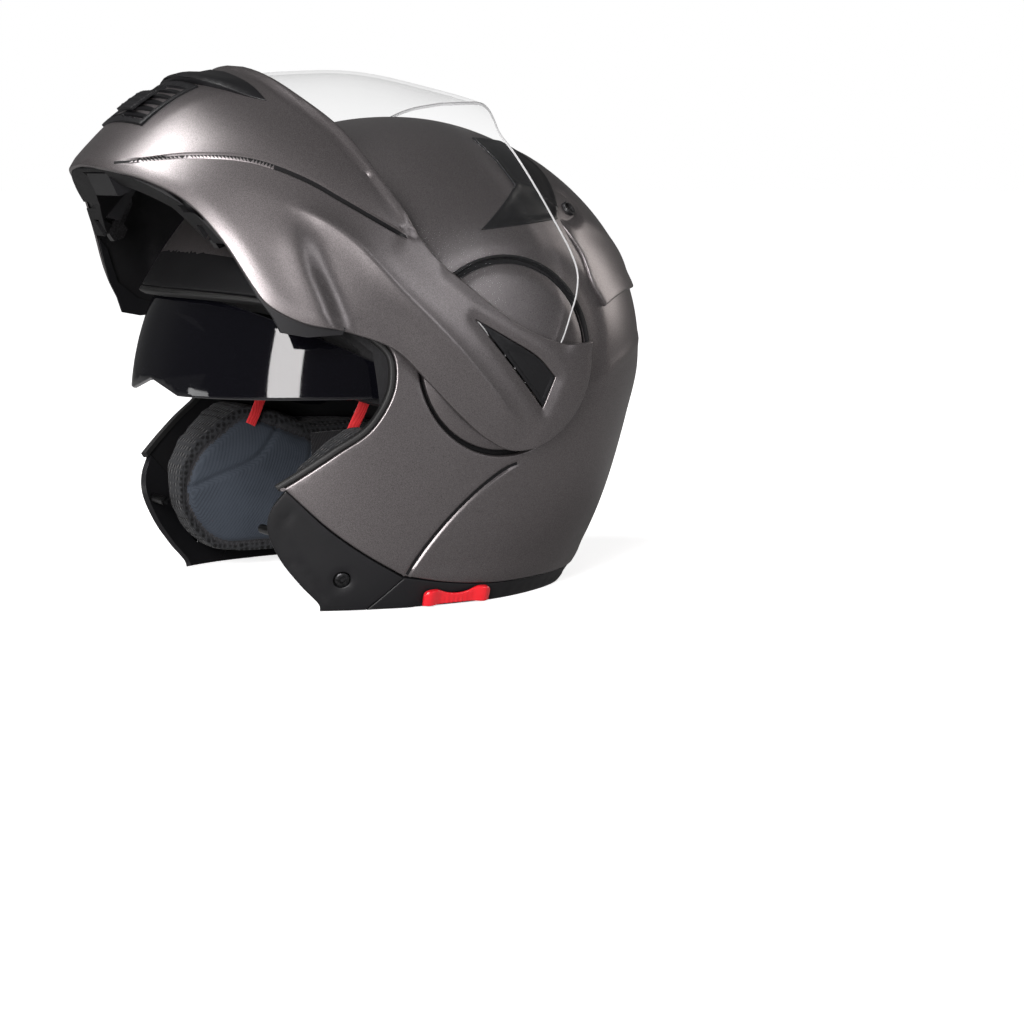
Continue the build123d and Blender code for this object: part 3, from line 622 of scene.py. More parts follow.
def clear_plastic(name, tint, alpha0, alpha1, rough=0.03):
    m, nt, bs = mat(name)
    v = coords(nt)
    lw = nt.nodes.new("ShaderNodeLayerWeight")
    lw.inputs["Blend"].default_value = 0.35
    n = noise(nt, v, 6.0, 2.0)
    nt.links.new(ramp(nt, n.outputs["Fac"], [(0.3, tint), (0.7, tuple(min(1, c * 1.04) for c in tint))]), bs.inputs["Base Color"])
    nt.links.new(maprange(nt, n.outputs["Fac"], 0.3, 0.7, rough, rough * 1.6), bs.inputs["Roughness"])
    pw = nt.nodes.new("ShaderNodeMath")
    pw.operation = "POWER"
    nt.links.new(lw.outputs["Facing"], pw.inputs[0])
    pw.inputs[1].default_value = 2.2
    nt.links.new(maprange(nt, pw.outputs[0], 0.0, 1.0, alpha0, alpha1), bs.inputs["Alpha"])
    bs.inputs["IOR"].default_value = 1.5
    bs.inputs["Coat Weight"].default_value = 0.4 if alpha0 < 0.5 else 0.0
    bs.inputs["Coat Roughness"].default_value = 0.02
    bs.inputs["Specular IOR Level"].default_value = 0.5 if alpha0 < 0.5 else 0.28
    m.blend_method = "BLEND" if hasattr(m, "blend_method") else None
    return m


PAINT = paint("paint_gunmetal", (0.098, 0.089, 0.090), (0.180, 0.166, 0.168), r0=0.33, r1=0.40)
BLACK = plastic("black_satin", (0.0035, 0.0035, 0.004), (0.007, 0.007, 0.008), 0.36, 0.46, spec=0.28)
BLACK_ROUGH = plastic("black_textured", (0.0025, 0.0025, 0.003), (0.005, 0.005, 0.0055), 0.55, 0.68, grain=700.0, strength=0.35, dist=0.0002, spec=0.2)
GLOSS = plastic("black_gloss", (0.006, 0.006, 0.007), (0.010, 0.010, 0.011), 0.08, 0.14, grain=500.0, strength=0.03, coat=0.6)
BLACK_DEEP = plastic("black_deep", (0.003, 0.003, 0.0035), (0.006, 0.006, 0.0065), 0.30, 0.40, spec=0.3)
RUBBER = plastic("rubber", (0.005, 0.005, 0.005), (0.010, 0.010, 0.010), 0.50, 0.62, grain=1000.0, strength=0.2, spec=0.35)
FOAM = plastic("bead_foam", (0.004, 0.004, 0.0045), (0.009, 0.009, 0.010), 0.75, 0.9, grain=320.0, strength=0.6, dist=0.0006, spec=0.3)
LINING = knit("lining_cloth", (0.009, 0.009, 0.010), (0.026, 0.026, 0.029), 700.0, 0.6, sheen=0.15)
MESHCLOTH = mesh_fabric("mesh_cloth", (0.0015, 0.0015, 0.0018), (0.020, 0.021, 0.023), cell=290.0, depth=0.0010, strength=1.0, sheen=0.05)
SLATE = knit("slate_cloth", (0.016, 0.021, 0.029), (0.034, 0.042, 0.055), 1500.0, 0.25, sheen=0.15)
WEB = knit("strap_webbing", (0.008, 0.008, 0.009), (0.028, 0.028, 0.030), 1500.0, 0.7)
REDWEB = knit("red_webbing", (0.42, 0.010, 0.014), (0.72, 0.030, 0.035), 1500.0, 0.7, rough=0.65)
STEEL = metal("plated_steel", (0.42, 0.42, 0.43), (0.62, 0.62, 0.63), 0.22, 0.34)
DARKSTEEL = metal("black_steel", (0.020, 0.020, 0.021), (0.045, 0.045, 0.047), 0.28, 0.42)
RED = plastic("red_gloss", (0.52, 0.006, 0.014), (0.66, 0.012, 0.020), 0.14, 0.22, grain=600.0, strength=0.04, coat=0.5)
CLEAR = clear_plastic("clear_shield", (0.16, 0.165, 0.17), 0.010, 0.20)
SMOKE = clear_plastic("smoked_shield", (0.0020, 0.0020, 0.0030), 0.95, 1.0, 0.04)
# light grey for the clear visor's rounded rim and its lift tabs: a painted glint, standing in for light caught in the
# edge of the clear plastic
EDGE = plastic("shield_edge_painted_glint", (0.38, 0.385, 0.39), (0.50, 0.505, 0.51), 0.18, 0.3, grain=600.0, strength=0.05)

# ================================================================ camera, floor, light
cam = bpy.data.objects.new("camera", bpy.data.cameras.new("camera"))
bpy.context.scene.collection.objects.link(cam)
cam.location = (1.30505, -0.70344, 0.23965)
az, el = math.radians(59.2), math.radians(7.8)
back = Vector((math.sin(az) * math.cos(el), -math.cos(az) * math.cos(el), math.sin(el)))
cam.rotation_euler = back.to_track_quat("Z", "Y").to_euler()
cam.data.sensor_width = 36.0
cam.data.lens = 2554.0 / 1024.0 * 36.0
cam.data.clip_start = 0.05
cam.data.clip_end = 60.0
bpy.context.scene.camera = cam
bpy.context.scene.view_settings.view_transform = "Standard"


def look(o, target):
    d = Vector(o.location) - Vector(target)
    o.rotation_euler = d.to_track_quat("Z", "Y").to_euler()


def area(name, loc, target, sx, sy, power, col=(1, 1, 1)):
    l = bpy.data.lights.new(name, "AREA")
    l.shape = "RECTANGLE"
    l.size, l.size_y = sx, sy
    l.energy = power
    l.color = col
    o = bpy.data.objects.new(name, l)
    bpy.context.scene.collection.objects.link(o)
    o.location = loc
    look(o, target)
    return o


C0 = (0, 0, 0.14)
key = area("key", (1.16, -1.10, 0.40), (0, -0.05, 0.16), 0.50, 1.15, 50, (1.0, 0.975, 0.975))
top = area("top", (-0.15, -1.05, 1.75), (0, -0.05, 0.2), 0.8, 0.6, 30, (1.0, 0.99, 0.985))
side = area("side", (2.0, 0.75, 0.75), C0, 0.5, 1.2, 7, (0.98, 0.98, 1.0))
rim = area("rim", (0.2, 1.9, 0.75), C0, 0.5, 1.0, 9, (1.0, 0.95, 0.91))
inner = area("inner", (-0.35, -1.45, 0.02), (0, 0, 0.08), 0.5, 0.4, 5, (1.0, 1.0, 1.0))

w = bpy.data.worlds.new("world")
bpy.context.scene.world = w
w.use_nodes = True
nt = w.node_tree
bg = nt.nodes["Background"]
bg.inputs["Color"].default_value = (1, 1, 1, 1)
bg.inputs["Strength"].default_value = 0.10
lp = nt.nodes.new("ShaderNodeLightPath")
bg2 = nt.nodes.new("ShaderNodeBackground")
bg2.inputs["Color"].default_value = (1, 1, 1, 1)
bg2.inputs["Strength"].default_value = 1.0
mixw = nt.nodes.new("ShaderNodeMixShader")
nt.links.new(lp.outputs["Is Camera Ray"], mixw.inputs[0])
nt.links.new(bg.outputs[0], mixw.inputs[1])
nt.links.new(bg2.outputs[0], mixw.inputs[2])
nt.links.new(mixw.outputs[0], nt.nodes["World Output"].inputs[0])

# ================================================================ stage: one flat floor disc that reaches far out towards the horizon
fm, fnt, fbs = mat("pale_floor")
fbs.inputs["Roughness"].default_value = 0.9
fbs.inputs["Specular IOR Level"].default_value = 0.1
fn = noise(fnt, coords(fnt), 3.0, 2.0)
flp = fnt.nodes.new("ShaderNodeLightPath")
fmx = fnt.nodes.new("ShaderNodeMix")
fmx.data_type = "RGBA"
fnt.links.new(flp.outputs["Is Camera Ray"], fmx.inputs["Factor"])
for sk in fmx.inputs:
    if sk.name == "A" and sk.type == "RGBA":
        sk.default_value = (0.30, 0.30, 0.30, 1)
    if sk.name == "B" and sk.type == "RGBA":
        fnt.links.new(ramp(fnt, fn.outputs["Fac"], [(0.3, (0.86, 0.86, 0.86)), (0.7, (0.88, 0.88, 0.88))]), sk)
for sk in fmx.outputs:
    if sk.type == "RGBA":
        fnt.links.new(sk, fbs.inputs["Base Color"])
fbs.inputs["Emission Color"].default_value = (1, 1, 1, 1)
fvl = fnt.nodes.new("ShaderNodeVectorMath")
fvl.operation = "LENGTH"
fnt.links.new(coords(fnt), fvl.inputs[0])
fem = fnt.nodes.new("ShaderNodeMath")
fem.operation = "MULTIPLY"
fnt.links.new(maprange(fnt, fvl.outputs["Value"], 0.25, 1.1, 0.74, 1.0), fem.inputs[0])
fnt.links.new(maprange(fnt, flp.outputs["Is Camera Ray"], 0.0, 1.0, 0.05, 1.0), fem.inputs[1])
fnt.links.new(fem.outputs[0], fbs.inputs["Emission Strength"])
floor_z = cad_box[0][2] / MM - 0.2
K = 160
fv = [(0, 0, floor_z)]
ff = []
RR = [400, 900, 2000, 5000, 20000]
for r in RR:
    fv += [(r * math.cos(2 * math.pi * i / K), r * math.sin(2 * math.pi * i / K), floor_z) for i in range(K)]
for i in range(K):
    ff.append([0, 1 + i, 1 + (i + 1) % K])
    for j in range(len(RR) - 1):
        a, b = 1 + j * K, 1 + (j + 1) * K
        ff.append([a + i, b + i, b + (i + 1) % K, a + (i + 1) % K])
floor = new_object("floor", fv, ff, [fm], None, None)


# ================================================================ outer shell
def loop_uv(surf, yz, eps=0.25):
    """Outline as a map loop; where it runs past the silhouette it follows the middle plane from where it meets it to where it leaves it."""
    U = surf.uv(yz)
    on = np.hypot(U[:, 0], U[:, 1]) > R0 * 0.9998
    n = len(U)
    if not on.any() or on.all():
        return dedupe(U, eps)

    def meets(a, b):
        d = a - b
        ad, dd = a @ d, d @ d
        t = (-ad + math.sqrt(max(ad * ad - dd * (a @ a - R0 * R0), 0))) / dd
        h = a + d * t
        return math.atan2(h[1], h[0])

    k = next(i for i in range(n) if not on[i] and on[i - 1])
    U, on = np.roll(U, -k, axis=0), np.roll(on, -k)
    out = []
    i = 0
    while i < n:
        if not on[i]:
            out.append(U[i])
            i += 1
            continue
        j = i
        while j < n and on[j]:
            j += 1
        a = np.unwrap(np.arctan2(U[i:j, 1], U[i:j, 0]))
        a0 = meets(U[i - 1], U[i - 2])
        a1 = meets(U[j % n], U[(j + 1) % n])
        a0 += round((a[0] - a0) / (2 * math.pi)) * 2 * math.pi
        a1 += round((a[-1] - a1) / (2 * math.pi)) * 2 * math.pi
        for t in np.linspace(a0, a1, max(2, int(abs(a1 - a0) * R0 / 2.4) + 1)):
            out.append(np.array([R0 * math.cos(t), R0 * math.sin(t)]))
        i = j
    return dedupe(np.array(out), eps)


def feat_uv(surf, yz, offs=(0,), h=1.6):
    """Feature line given in side view, as map lines shifted sideways by each of offs."""
    L = dedupe(surf.uv(smooth(yz, h)), 0.3, closed=False)
    return [shift(L, o) if o else L for o in offs]


def not_past_middle(lines):
    out = []
    for L in lines:
        q = np.hypot(L[:, 0], L[:, 1]) / R0
        L = L[q < 0.998]
        if len(L) > 2:
            out.append(L)
    return out


shell_outline = join(
    line([(-260, 176), (-175, 174)], 6)[:-1],
    smooth(EYE, 2.0)[:-1],
    line([(-124, 67), (-121.8, 68.3)], 2)[:-1],
    smooth([(-121.8, 68.3), (-99, 46.3), (-79, 31.3), (-57, 18.1)], 2.0)[:-1],
    smooth([(-57, 18.1)] + [(y, z + 0.3) for y, z in BAND_TOP[1:]], 2.5),
    line([(200, 15), (260, 15), (260, 340), (-260, 340)], 4),
)
S_LOOP = loop_uv(SHELL, shell_outline)
S_POCKET = SHELL.uv(circle(0, ZP, 53.5, 120))
groove_a = feat_uv(SHELL, [(-58, 15), (-45, 35), (-29, 53), (-9, 69), (6, 76.5), (20, 78)], (-1.9, -1.35, -0.7, 0, 0.7, 1.35, 1.9))
G_LINE = groove_a[3]
# soft shoulder over the hinge, and the two long relief lines that run back over the crown
HUMP = feat_uv(SHELL, [(-62, 150), (-44, 176), (-19, 187), (12, 191), (38, 187), (57, 172), (66, 150), (66, 120), (58, 92)])[0]
TAIL_LINE = feat_uv(SHELL, [(58, 117), (76, 126), (96, 134), (118, 140), (140, 143)])[0]


def shell_disp(U, P):
    d = np.zeros(len(U))
    D, S, T = seg_dist(U, G_LINE)
    L = T.max()
    fade = sstep(0, 8, T) * (1 - sstep(L - 22, L - 4, T))
    d -= 0.85 * (1 - sstep(0.7, 1.45, D)) * fade
    d += 0.30 * np.exp(-((D - 2.4) / 0.9) ** 2) * fade
    # raised shoulder round the hinge
    r = np.hypot(P[:, 1], P[:, 2] - ZP)
    D, S, T = seg_dist(U, HUMP)
    inn = np.where(S < 0, 1.0, -1.0)
    front = 1 - sstep(60, 95, -P[:, 1])
    d += 1.3 * sstep(-5, 4, D * inn) * front * sstep(95, 125, P[:, 2])
    # lower rear panel stands a little proud of the hinge area
    D, S, T = seg_dist(U, TAIL_LINE)
    d += 0.55 * np.exp(-(D / 3.0) ** 2) * (1 - sstep(0, 12, T - T.max() + 12))
    # flare above the rim band
    d += 1.1 * sstep(16, 6, P[:, 2] - 8) * sstep(-60, -30, P[:, 1])
    return d


# upper edge of the forehead band that is painted black: partly a black brow trim, partly painted shade under the raised
# chin bar
BROW_TOP = [(-86, 153.5), (-94, 166), (-104, 176.5), (-118, 185), (-136, 191), (-156, 194.5), (-180, 196)]
brow_lines = not_past_middle(feat_uv(SHELL, BROW_TOP))
BROW_AREA = np.concatenate([smooth(BROW_TOP, 1.6), line([(-180, 196), (-200, 190), (-200, 165), (-120, 160), (-86, 150), (-86, 153.5)], 4)])
outer = panel("outer_shell_skin", SHELL, [S_LOOP, S_POCKET], [PAINT, PAINT, BLACK_ROUGH], "shell", ("outer_shell",), "shell_paint",
              feats=groove_a + brow_lines, h=2.6, disp=shell_disp, thick=2.8, edge=1.1, matmap=(0, 1, 2))

# floor of the round hinge pockets, both sides, in black: partly the black pivot base, partly painted shade in the gap
# round the arm
pv, pf = [], []
for sx in (1, -1):
    n0 = len(pv)
    K = 96
    rings = [(53.6, 113.4), (53.6, 112.0), (30, 112.0), (5.2, 112.0)]
    prof = [(54.4, 116.6), (53.8, 116.0), (53.3, 113.8), (52.7, 113.35), (33.2, 113.35), (32.8, 113.35), (5.2, 113.35), (5.2, 110.4), (55.4, 110.4), (55.4, 116.2)]
    for r, x in prof:
        for i in range(K):
            t = 2 * math.pi * i / K
            pv.append((sx * x, r * math.cos(t), ZP + r * math.sin(t)))
    for j in range(len(prof)):
        j2 = (j + 1) % len(prof)
        for i in range(K):
            q = [n0 + j * K + i, n0 + j * K + (i + 1) % K, n0 + j2 * K + (i + 1) % K, n0 + j2 * K + i]
            pf.append(q if sx < 0 else q[::-1])
pocket = new_object("hinge_pockets", pv, pf, [BLACK_ROUGH], None, 35)
finish_piece(pocket, "shell", ("outer_shell",))

# ================================================================ chin bar
C_EDGE = join(
    line([(-262, 262), (-215, 244), (-194, 238)], 4)[:-1],
    smooth(CHIN_LOW + ARM_END, 2.0)[:-1],
    smooth([(51.5, 135), (51.5, 142.2)], 1.5)[:-1],
    smooth([(51.5, 142.2), STEP[2], STEP[1], STEP[0]], 2.0)[:-1],
    smooth([STEP[0], (-47, 193), SEAM[-1]], 2.0)[:-1],
    smooth(SEAM[::-1], 2.0)[:-1],
    line([SEAM[0], (-114, 330), (-262, 330)], 4)[:-1],
    line([(-262, 330), (-262, 262)], 4)[:-1],
)
C_LOOP = loop_uv(CHIN, C_EDGE)
TRI_EDGE = smooth(TRI, 1.2, closed=True, corners=(0, 3, 4))
C_TRI = loop_uv(CHIN, TRI_EDGE)

GROOVE = [(-188, 239.5), (-180, 240.5), (-160, 243), (-132, 241), (-108, 231), (-91, 220), (-72, 208), (-58, 199.5)]
RIDGE = [(-200, 240.5), (-192, 242), (-178, 249), (-166, 258), (-148, 269), (-131, 275), (-109, 279)]
SC_L = [(-122, 219), (-119, 202), (-116, 184), (-111, 168), (-107, 155), (-104, 148)]
SC_R = [(-122, 219), (-105, 211), (-89, 199), (-66, 173), (-45, 152), (-27, 133), (-10, 113), (2, 97), (8, 84)]
g_lines = feat_uv(CHIN, GROOVE, (-1.75, -1.2, -0.6, 0.6, 1.2, 1.75))
r_lines = not_past_middle(feat_uv(CHIN, RIDGE, (-2.5, -1.0, 0, 1.0, 2.5), 2.0))
l_lines = feat_uv(CHIN, SC_L, (-3.0, -1.5, 0, 1.5, 3.0), 2.0)
c_lines = feat_uv(CHIN, SC_R, (-2.5, -1.2, 0, 1.2, 2.5), 2.0)
GL = feat_uv(CHIN, GROOVE)[0]
RL = feat_uv(CHIN, RIDGE)[0]
LL_ = feat_uv(CHIN, SC_L)[0]
CL = feat_uv(CHIN, SC_R)[0]
LOW_L = dedupe(CHIN.uv(smooth(CHIN_LOW + ARM_END, 2.0)), 0.3, closed=False)
SEAM_L = dedupe(CHIN.uv(smooth(SEAM, 2.0)), 0.3, closed=False)
STEP_L = dedupe(CHIN.uv(smooth(STEP[:3], 2.0)), 0.3, closed=False)
SCOOP = inside_loop = np.concatenate([LL_, dedupe(CHIN.uv(line([(-104, 148), (-100, 120), (0, 60), (8, 84)], 4)), 0.3, False), CL[::-1]])


def chin_disp(U, P):
    d = np.zeros(len(U))
    # crisp parting groove, with the lower panel standing proud of the upper one
    D, S, T = seg_dist(U, GL)
    L = T.max()
    fade = sstep(0, 14, T) * (1 - sstep(L - 6, L - 1, T))
    d -= 1.25 * (1 - sstep(0.5, 1.25, D)) * fade
    fade = fade * sstep(0, 60, T)
    low = np.where(S > 0, -1.0, 1.0)
    d += 1.5 * sstep(-1.0, 1.0, D * low) * (1 - sstep(4, 30, D)) * fade
    d += -0.8 * (1 - sstep(0, 14, D)) * (low < 0) * fade
    # soft ridge from the tip over the upper chin
    D, S, T = seg_dist(U, RL)
    L = T.max()
    fr = sstep(22, 80, T) * (1 - sstep(L - 34, L, T))
    up = S > 0
    wdt = np.where(up, 9.0, 17.0)
    d += 2.6 * np.exp(-(D / wdt) ** 1.35) * fr
    d -= 1.2 * np.exp(-((D - 15) / 8.0) ** 2) * fr * (S < 0)
    # scoop: steep left wall, floor that rises to the long crease on the right
    Dl, Sl, Tl = seg_dist(U, LL_)
    Dc, Sc, Tc = seg_dist(U, CL)
    ins = inside(U, [SCOOP])
    Lc = Tc.max()
    w = Dl + Dc + 1e-6
    t = Dl / w
    depth = 6.0 * sstep(2, 34, Tl + 2) * (1 - 0.75 * sstep(35, 105, Tc))
    wall = sstep(0.0, 1.0, Dl / 10.0)
    d -= np.where(ins, depth * wall * (1 - t) ** 1.15, 0)
    d += 1.0 * np.exp(-(Dl / 5.5) ** 2) * sstep(3, 20, Tl)
    d += 1.5 * np.exp(-(Dc / 4.0) ** 1.3) * sstep(0, 16, Tc) * (1 - sstep(Lc - 30, Lc - 4, Tc))
    # the arm's lower facet falls away from the crease to its rounded edge
    Dw, Sw, Tw = seg_dist(U, LOW_L)
    arm = sstep(-100, -60, P[:, 1]) * (1 - sstep(0, 18, P[:, 1]))
    d -= 2.4 * (1 - sstep(0, 16, Dw)) * arm
    d -= 0.8 * (1 - sstep(0, 5, Dw)) * (1 - arm)
    # raised lip along the visor seam and along the upper step of the arm
    Ds, Ss, Ts = seg_dist(U, SEAM_L)
    d += 0.9 * sstep(4.2, 2.2, Ds) - 0.5 * sstep(7.0, 4.6, Ds) * (1 - sstep(4.2, 2.2, Ds))
    Dt, St, Tt = seg_dist(U, STEP_L)
    d -= 0.9 * (1 - sstep(0, 7, Dt))
    # sunk facets round the side vent
    Dv, Sv, Tv = seg_dist(U, C_TRI, True)
    d -= 1.0 * (1 - sstep(0, 6, Dv))
    return d


def chin_inner(U, P, d):
    return np.minimum(d, 0) * 0.9


chin_feats = not_past_middle(g_lines + r_lines + l_lines + c_lines)
keep = []
for L in chin_feats:
    m = inside(L, [C_LOOP]) & ~inside(L, [C_TRI])
    Dq, _, _ = seg_dist(L, C_LOOP, True)
    Dt_, _, _ = seg_dist(L, C_TRI, True)
    m &= (Dq > 1.5) & (Dt_ > 1.5)
    # keep every unbroken stretch
    cur = []
    for i, ok in enumerate(list(m) + [False]):
        if ok:
            cur.append(i)
        else:
            if len(cur) > 3:
                keep.append(L[cur])
            cur = []
chin = panel("chin_bar_skin", CHIN, [C_LOOP, C_TRI], [PAINT, PAINT, BLACK_ROUGH], "chin_bar", ("chin_bar_shell",), "shell_paint",
             feats=keep, h=2.3, disp=chin_disp, thick=2.3, edge=0.9, inner_disp=chin_inner, matmap=(0, 1, 2))

HAS = set(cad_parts)


def paint_faces(o, surf, test, index):
    """Gives material index to the outer faces where test(side-view map points, centres) is true."""
    me = o.data
    n = len(me.polygons)
    C = np.zeros(n * 3)
    me.polygons.foreach_get("center", C)
    C = C.reshape(-1, 3) / MM
    N = np.zeros(n * 3)
    me.polygons.foreach_get("normal", N)
    N = N.reshape(-1, 3)
    mi = np.zeros(n, dtype=np.int32)
    me.polygons.foreach_get("material_index", mi)
    rad = C - np.array([0, 0, ZP])
    out = (N * rad).sum(1) > 0
    U = surf.uv(C[:, 1:])
    hit = test(U, C) & out
    mi[hit] = index
    me.polygons.foreach_set("material_index", mi)
    me.update()


def near_line(L, w, t0=0.0, t1=1.0):
    def f(U, C):
        D, S, T = seg_dist(U, L)
        m = T.max()
        return (D < w) & (T > t0 * m) & (T < t1 * m)
    return f


# faces at the bottom of the parting grooves on the chin bar and the shell get the black material: partly a dark parting
# line, partly painted shade in the crease
paint_faces(chin, CHIN, near_line(GL, 0.5, 0.0, 0.985), 2)
paint_faces(outer, SHELL, near_line(G_LINE, 0.6, 0.04, 0.86), 2)


# forehead band given the black material: partly a black brow trim, partly painted shade where the raised chin bar
# shadows the forehead
def brow(U, C):
    return inside(C[:, 1:], [BROW_AREA])


paint_faces(outer, SHELL, brow, 2)


def at(surf, phi, x):
    """Map point at side-view angle phi (degrees) and distance x from the middle plane."""
    phi = np.asarray(phi, float)
    x = np.broadcast_to(np.asarray(x, float), phi.shape)
    n = surf.n(phi)
    r = surf.b(phi) * (1 - np.clip(x / surf.a, 0, 1) ** n) ** (1 / n)
    lam = np.arctan2(x, r)
    m = R0 * (1 - lam / (math.pi / 2))
    t = np.radians(phi)
    return np.stack([m * np.cos(t), m * np.sin(t)], -1)


def joined(name, parts, mats, angle=38.0):
    """Several (V, F, material) sets as one mesh object."""
    VV, FF, MM_ = [], [], []
    n = 0
    for V, F, m in parts:
        V = np.asarray(V, float)
        VV.append(V)
        FF += [[i + n for i in f] for f in F]
        MM_ += list(m) if hasattr(m, "__len__") else [m] * len(F)
        n += len(V)
    return new_object(name, np.concatenate(VV), FF, mats, MM_, angle)


# ================================================================ clear visor
v_edge = shift(smooth(SEAM, 2.0), 1.3)
V_LOOP = loop_uv(VISOR, join(
    line([(44, 330), (44, 300)], 4)[:-1],
    smooth(V_TOP, 1.8, corners=(0,))[:-1],
    v_edge[::-1][:-1],
    line([v_edge[0], (-112, 330), (44, 330)], 4)[:-1]))
V_HOLE = VISOR.uv(circle(0, ZP, 5.1, 40))


def visor_disp(U, P):
    d = np.zeros(len(U))
    L = dedupe(VISOR.uv(v_edge), 0.3, False)
    D, S, T = seg_dist(U, L)
    # bead along the lower edge
    return d + 0.55 * (1 - sstep(1.2, 3.4, D))


# the visor's rounded rim takes the light grey material, a painted glint along the edge of the clear plastic
visor = panel("clear_visor_lens", VISOR, [V_LOOP, V_HOLE], [CLEAR, EDGE, CLEAR], "visor", ("clear_visor",), "clear_shield",
              h=4.0, disp=visor_disp, thick=1.75, edge=0.55, rings=3, matmap=(0, 1, 2))

# lift tabs on the visor's lower edge, moulded with it; their light grey is the same painted glint as the visor's rim

def tab(surf, yz, half_l, half_w, h):
    """A small rounded block standing on the surface at side-view point yz, along the seam."""
    L = dedupe(surf.uv(v_edge), 0.3, False)
    c = surf.uv(np.array([yz]))[0]
    D, S, T = seg_dist(c[None], L)
    j = int(np.argmin(np.hypot(*(L - c).T)))
    t = L[min(j + 1, len(L) - 1)] - L[max(j - 1, 0)]
    t /= np.linalg.norm(t)
    n = np.array([-t[1], t[0]])
    k = 28
    a = np.arange(k) * 2 * math.pi / k
    ca, sa = np.cos(a), np.sin(a)
    ox = np.sign(ca) * np.abs(ca) ** 0.5 * half_l
    oy = np.sign(sa) * np.abs(sa) ** 0.5 * half_w
    loop = c + ox[:, None] * t + oy[:, None] * n
    return panel_data(surf.off(h), [loop], h=1.4, thick=h + 0.6, edge=0.6, rings=3, mid_ok=False)


parts = []
for yz, l, w, h in (((-93.5, 270.0), 4.2, 1.7, 1.7), ((-88.5, 264.5), 2.2, 1.4, 1.3), ((-98.5, 277.5), 2.2, 1.4, 1.3)):
    V, F, t = tab(VISOR, yz, l, w, h)
    parts.append((V, F, 0))
    parts.append((V * [-1, 1, 1], [f[::-1] for f in F], 0))
tabs = joined("visor_lift_tabs", parts, [EDGE])
finish_piece(tabs, "visor", ())

# ================================================================ hinge covers under the visor
BASE = Surf(122.5, const(140.0), const(2.4))
B_LOOP = BASE.uv(circle(0, ZP, 51.0, 140))
B_HOLE = BASE.uv(circle(0, ZP, 5.1, 40))


def base_disp(U, P):
    r = np.hypot(P[:, 1], P[:, 2] - ZP)
    return -1.2 * sstep(44, 51, r) - 0.5 * sstep(17, 13, r)


base = panel("hinge_cover", BASE, [B_LOOP, B_HOLE], [PAINT, PAINT, BLACK_ROUGH], "chin_bar", ("arm_base_left", "arm_base_right"), "shell_paint",
             h=3.0, disp=base_disp, thick=4.4, edge=0.9, mid_ok=False, matmap=(0, 1, 2))

# ================================================================ side vents in the arms
TRI_IN = smooth([(-21.5, 155.2), (-4, 145.4), (14.7, 134.3), (25.2, 123.9), (17.9, 108.4), (4.4, 124.6)], 1.2, closed=True, corners=(0, 3, 4))
SV = CHIN.off(-0.9)
SV_LOOP = dedupe(SV.uv(TRI_IN), 0.25)
SV_RIB = dedupe(SV.uv(smooth([(-14, 149.5), (2, 137), (15, 122), (19.5, 111.5)], 1.2)), 0.3, False)


def sv_disp(U, P):
    D, S, T = seg_dist(U, SV_LOOP, True)
    d = -1.15 * sstep(0, 4.5, D)
    Dr, Sr, Tr = seg_dist(U, SV_RIB)
    d += 0.8 * np.exp(-(Dr / 1.7) ** 2) * sstep(2, 14, Tr) * (1 - sstep(Tr.max() - 12, Tr.max() - 3, Tr))
    return d


svent = panel("side_vents", SV, [SV_LOOP], [BLACK, BLACK, BLACK], "chin_bar", ("side_vent_left", "side_vent_right"), "black_trim",
              feats=[L for L in (SV_RIB[2:-2],)], h=1.5, disp=sv_disp, thick=0.5, edge=0.2, rings=2, mid_ok=False, matmap=(0, 1, 2))

# ================================================================ chin vent
GV = CHIN.off(0.3)
ph = np.concatenate([np.full(16, 36.0), np.linspace(36, 46.4, 22), np.full(16, 46.4), np.linspace(46.4, 36, 24)[1:-1]])
xs = np.concatenate([np.linspace(0, 27, 16), np.full(22, 27.0), np.linspace(27, 0, 16), np.zeros(22)])
GV_LOOP = dedupe(at(GV, ph, xs), 0.3)


def grille_disp(U, P):
    y, z = P[:, 1], P[:, 2] - ZP
    phi = np.degrees(np.arctan2(z, -y))
    x = np.abs(P[:, 0])
    d = np.full(len(U), 0.9)
    s = (phi - 37.3) / 1.55
    inn = (phi > 37.2) & (phi < 45.4) & (x < 24.5)
    saw = s - np.floor(s)
    lou = 2.1 * (1 - saw) - 0.9
    d = np.where(inn & (x > 1.5), lou, d)
    d = np.where(~inn, 1.5, d)
    return d


gl = []
for p in np.arange(37.3, 45.5, 1.55):
    for e in (-0.06, 0.06):
        gl.append(at(GV, np.full(14, p + e), np.linspace(1.0, 24.3, 14)))
gl.append(at(GV, np.linspace(36.9, 45.7, 24), np.full(24, 24.42)))
gl.append(at(GV, np.linspace(36.9, 45.7, 24), np.full(24, 24.62)))
grille = panel("chin_vent_grille", GV, [GV_LOOP], [BLACK, BLACK, BLACK], "chin_bar", ("front_vent_grille",), "black_trim",
               feats=gl, h=1.3, disp=grille_disp, thick=0.5, edge=0.3, rings=2, angle=30)
GS = CHIN.off(3.1)
ph = np.concatenate([np.full(10, 38.2), np.linspace(38.2, 42.6, 12), np.full(10, 42.6), np.linspace(42.6, 38.2, 14)[1:-1]])
xs = np.concatenate([np.linspace(0, 10, 10), np.full(12, 10.0), np.linspace(10, 0, 10), np.zeros(12)])
GS_LOOP = dedupe(at(GS, ph, xs), 0.3)


def gs_disp(U, P):
    y, z = P[:, 1], P[:, 2] - ZP
    phi = np.degrees(np.arctan2(z, -y))
    x = np.abs(P[:, 0])
    w = sstep(9.4, 8.0, x) * sstep(1.9, 1.5, np.abs(phi - 40.4))
    return 0.8 + 0.55 * np.cos((phi - 40.4) * 2 * math.pi / 1.3) * w


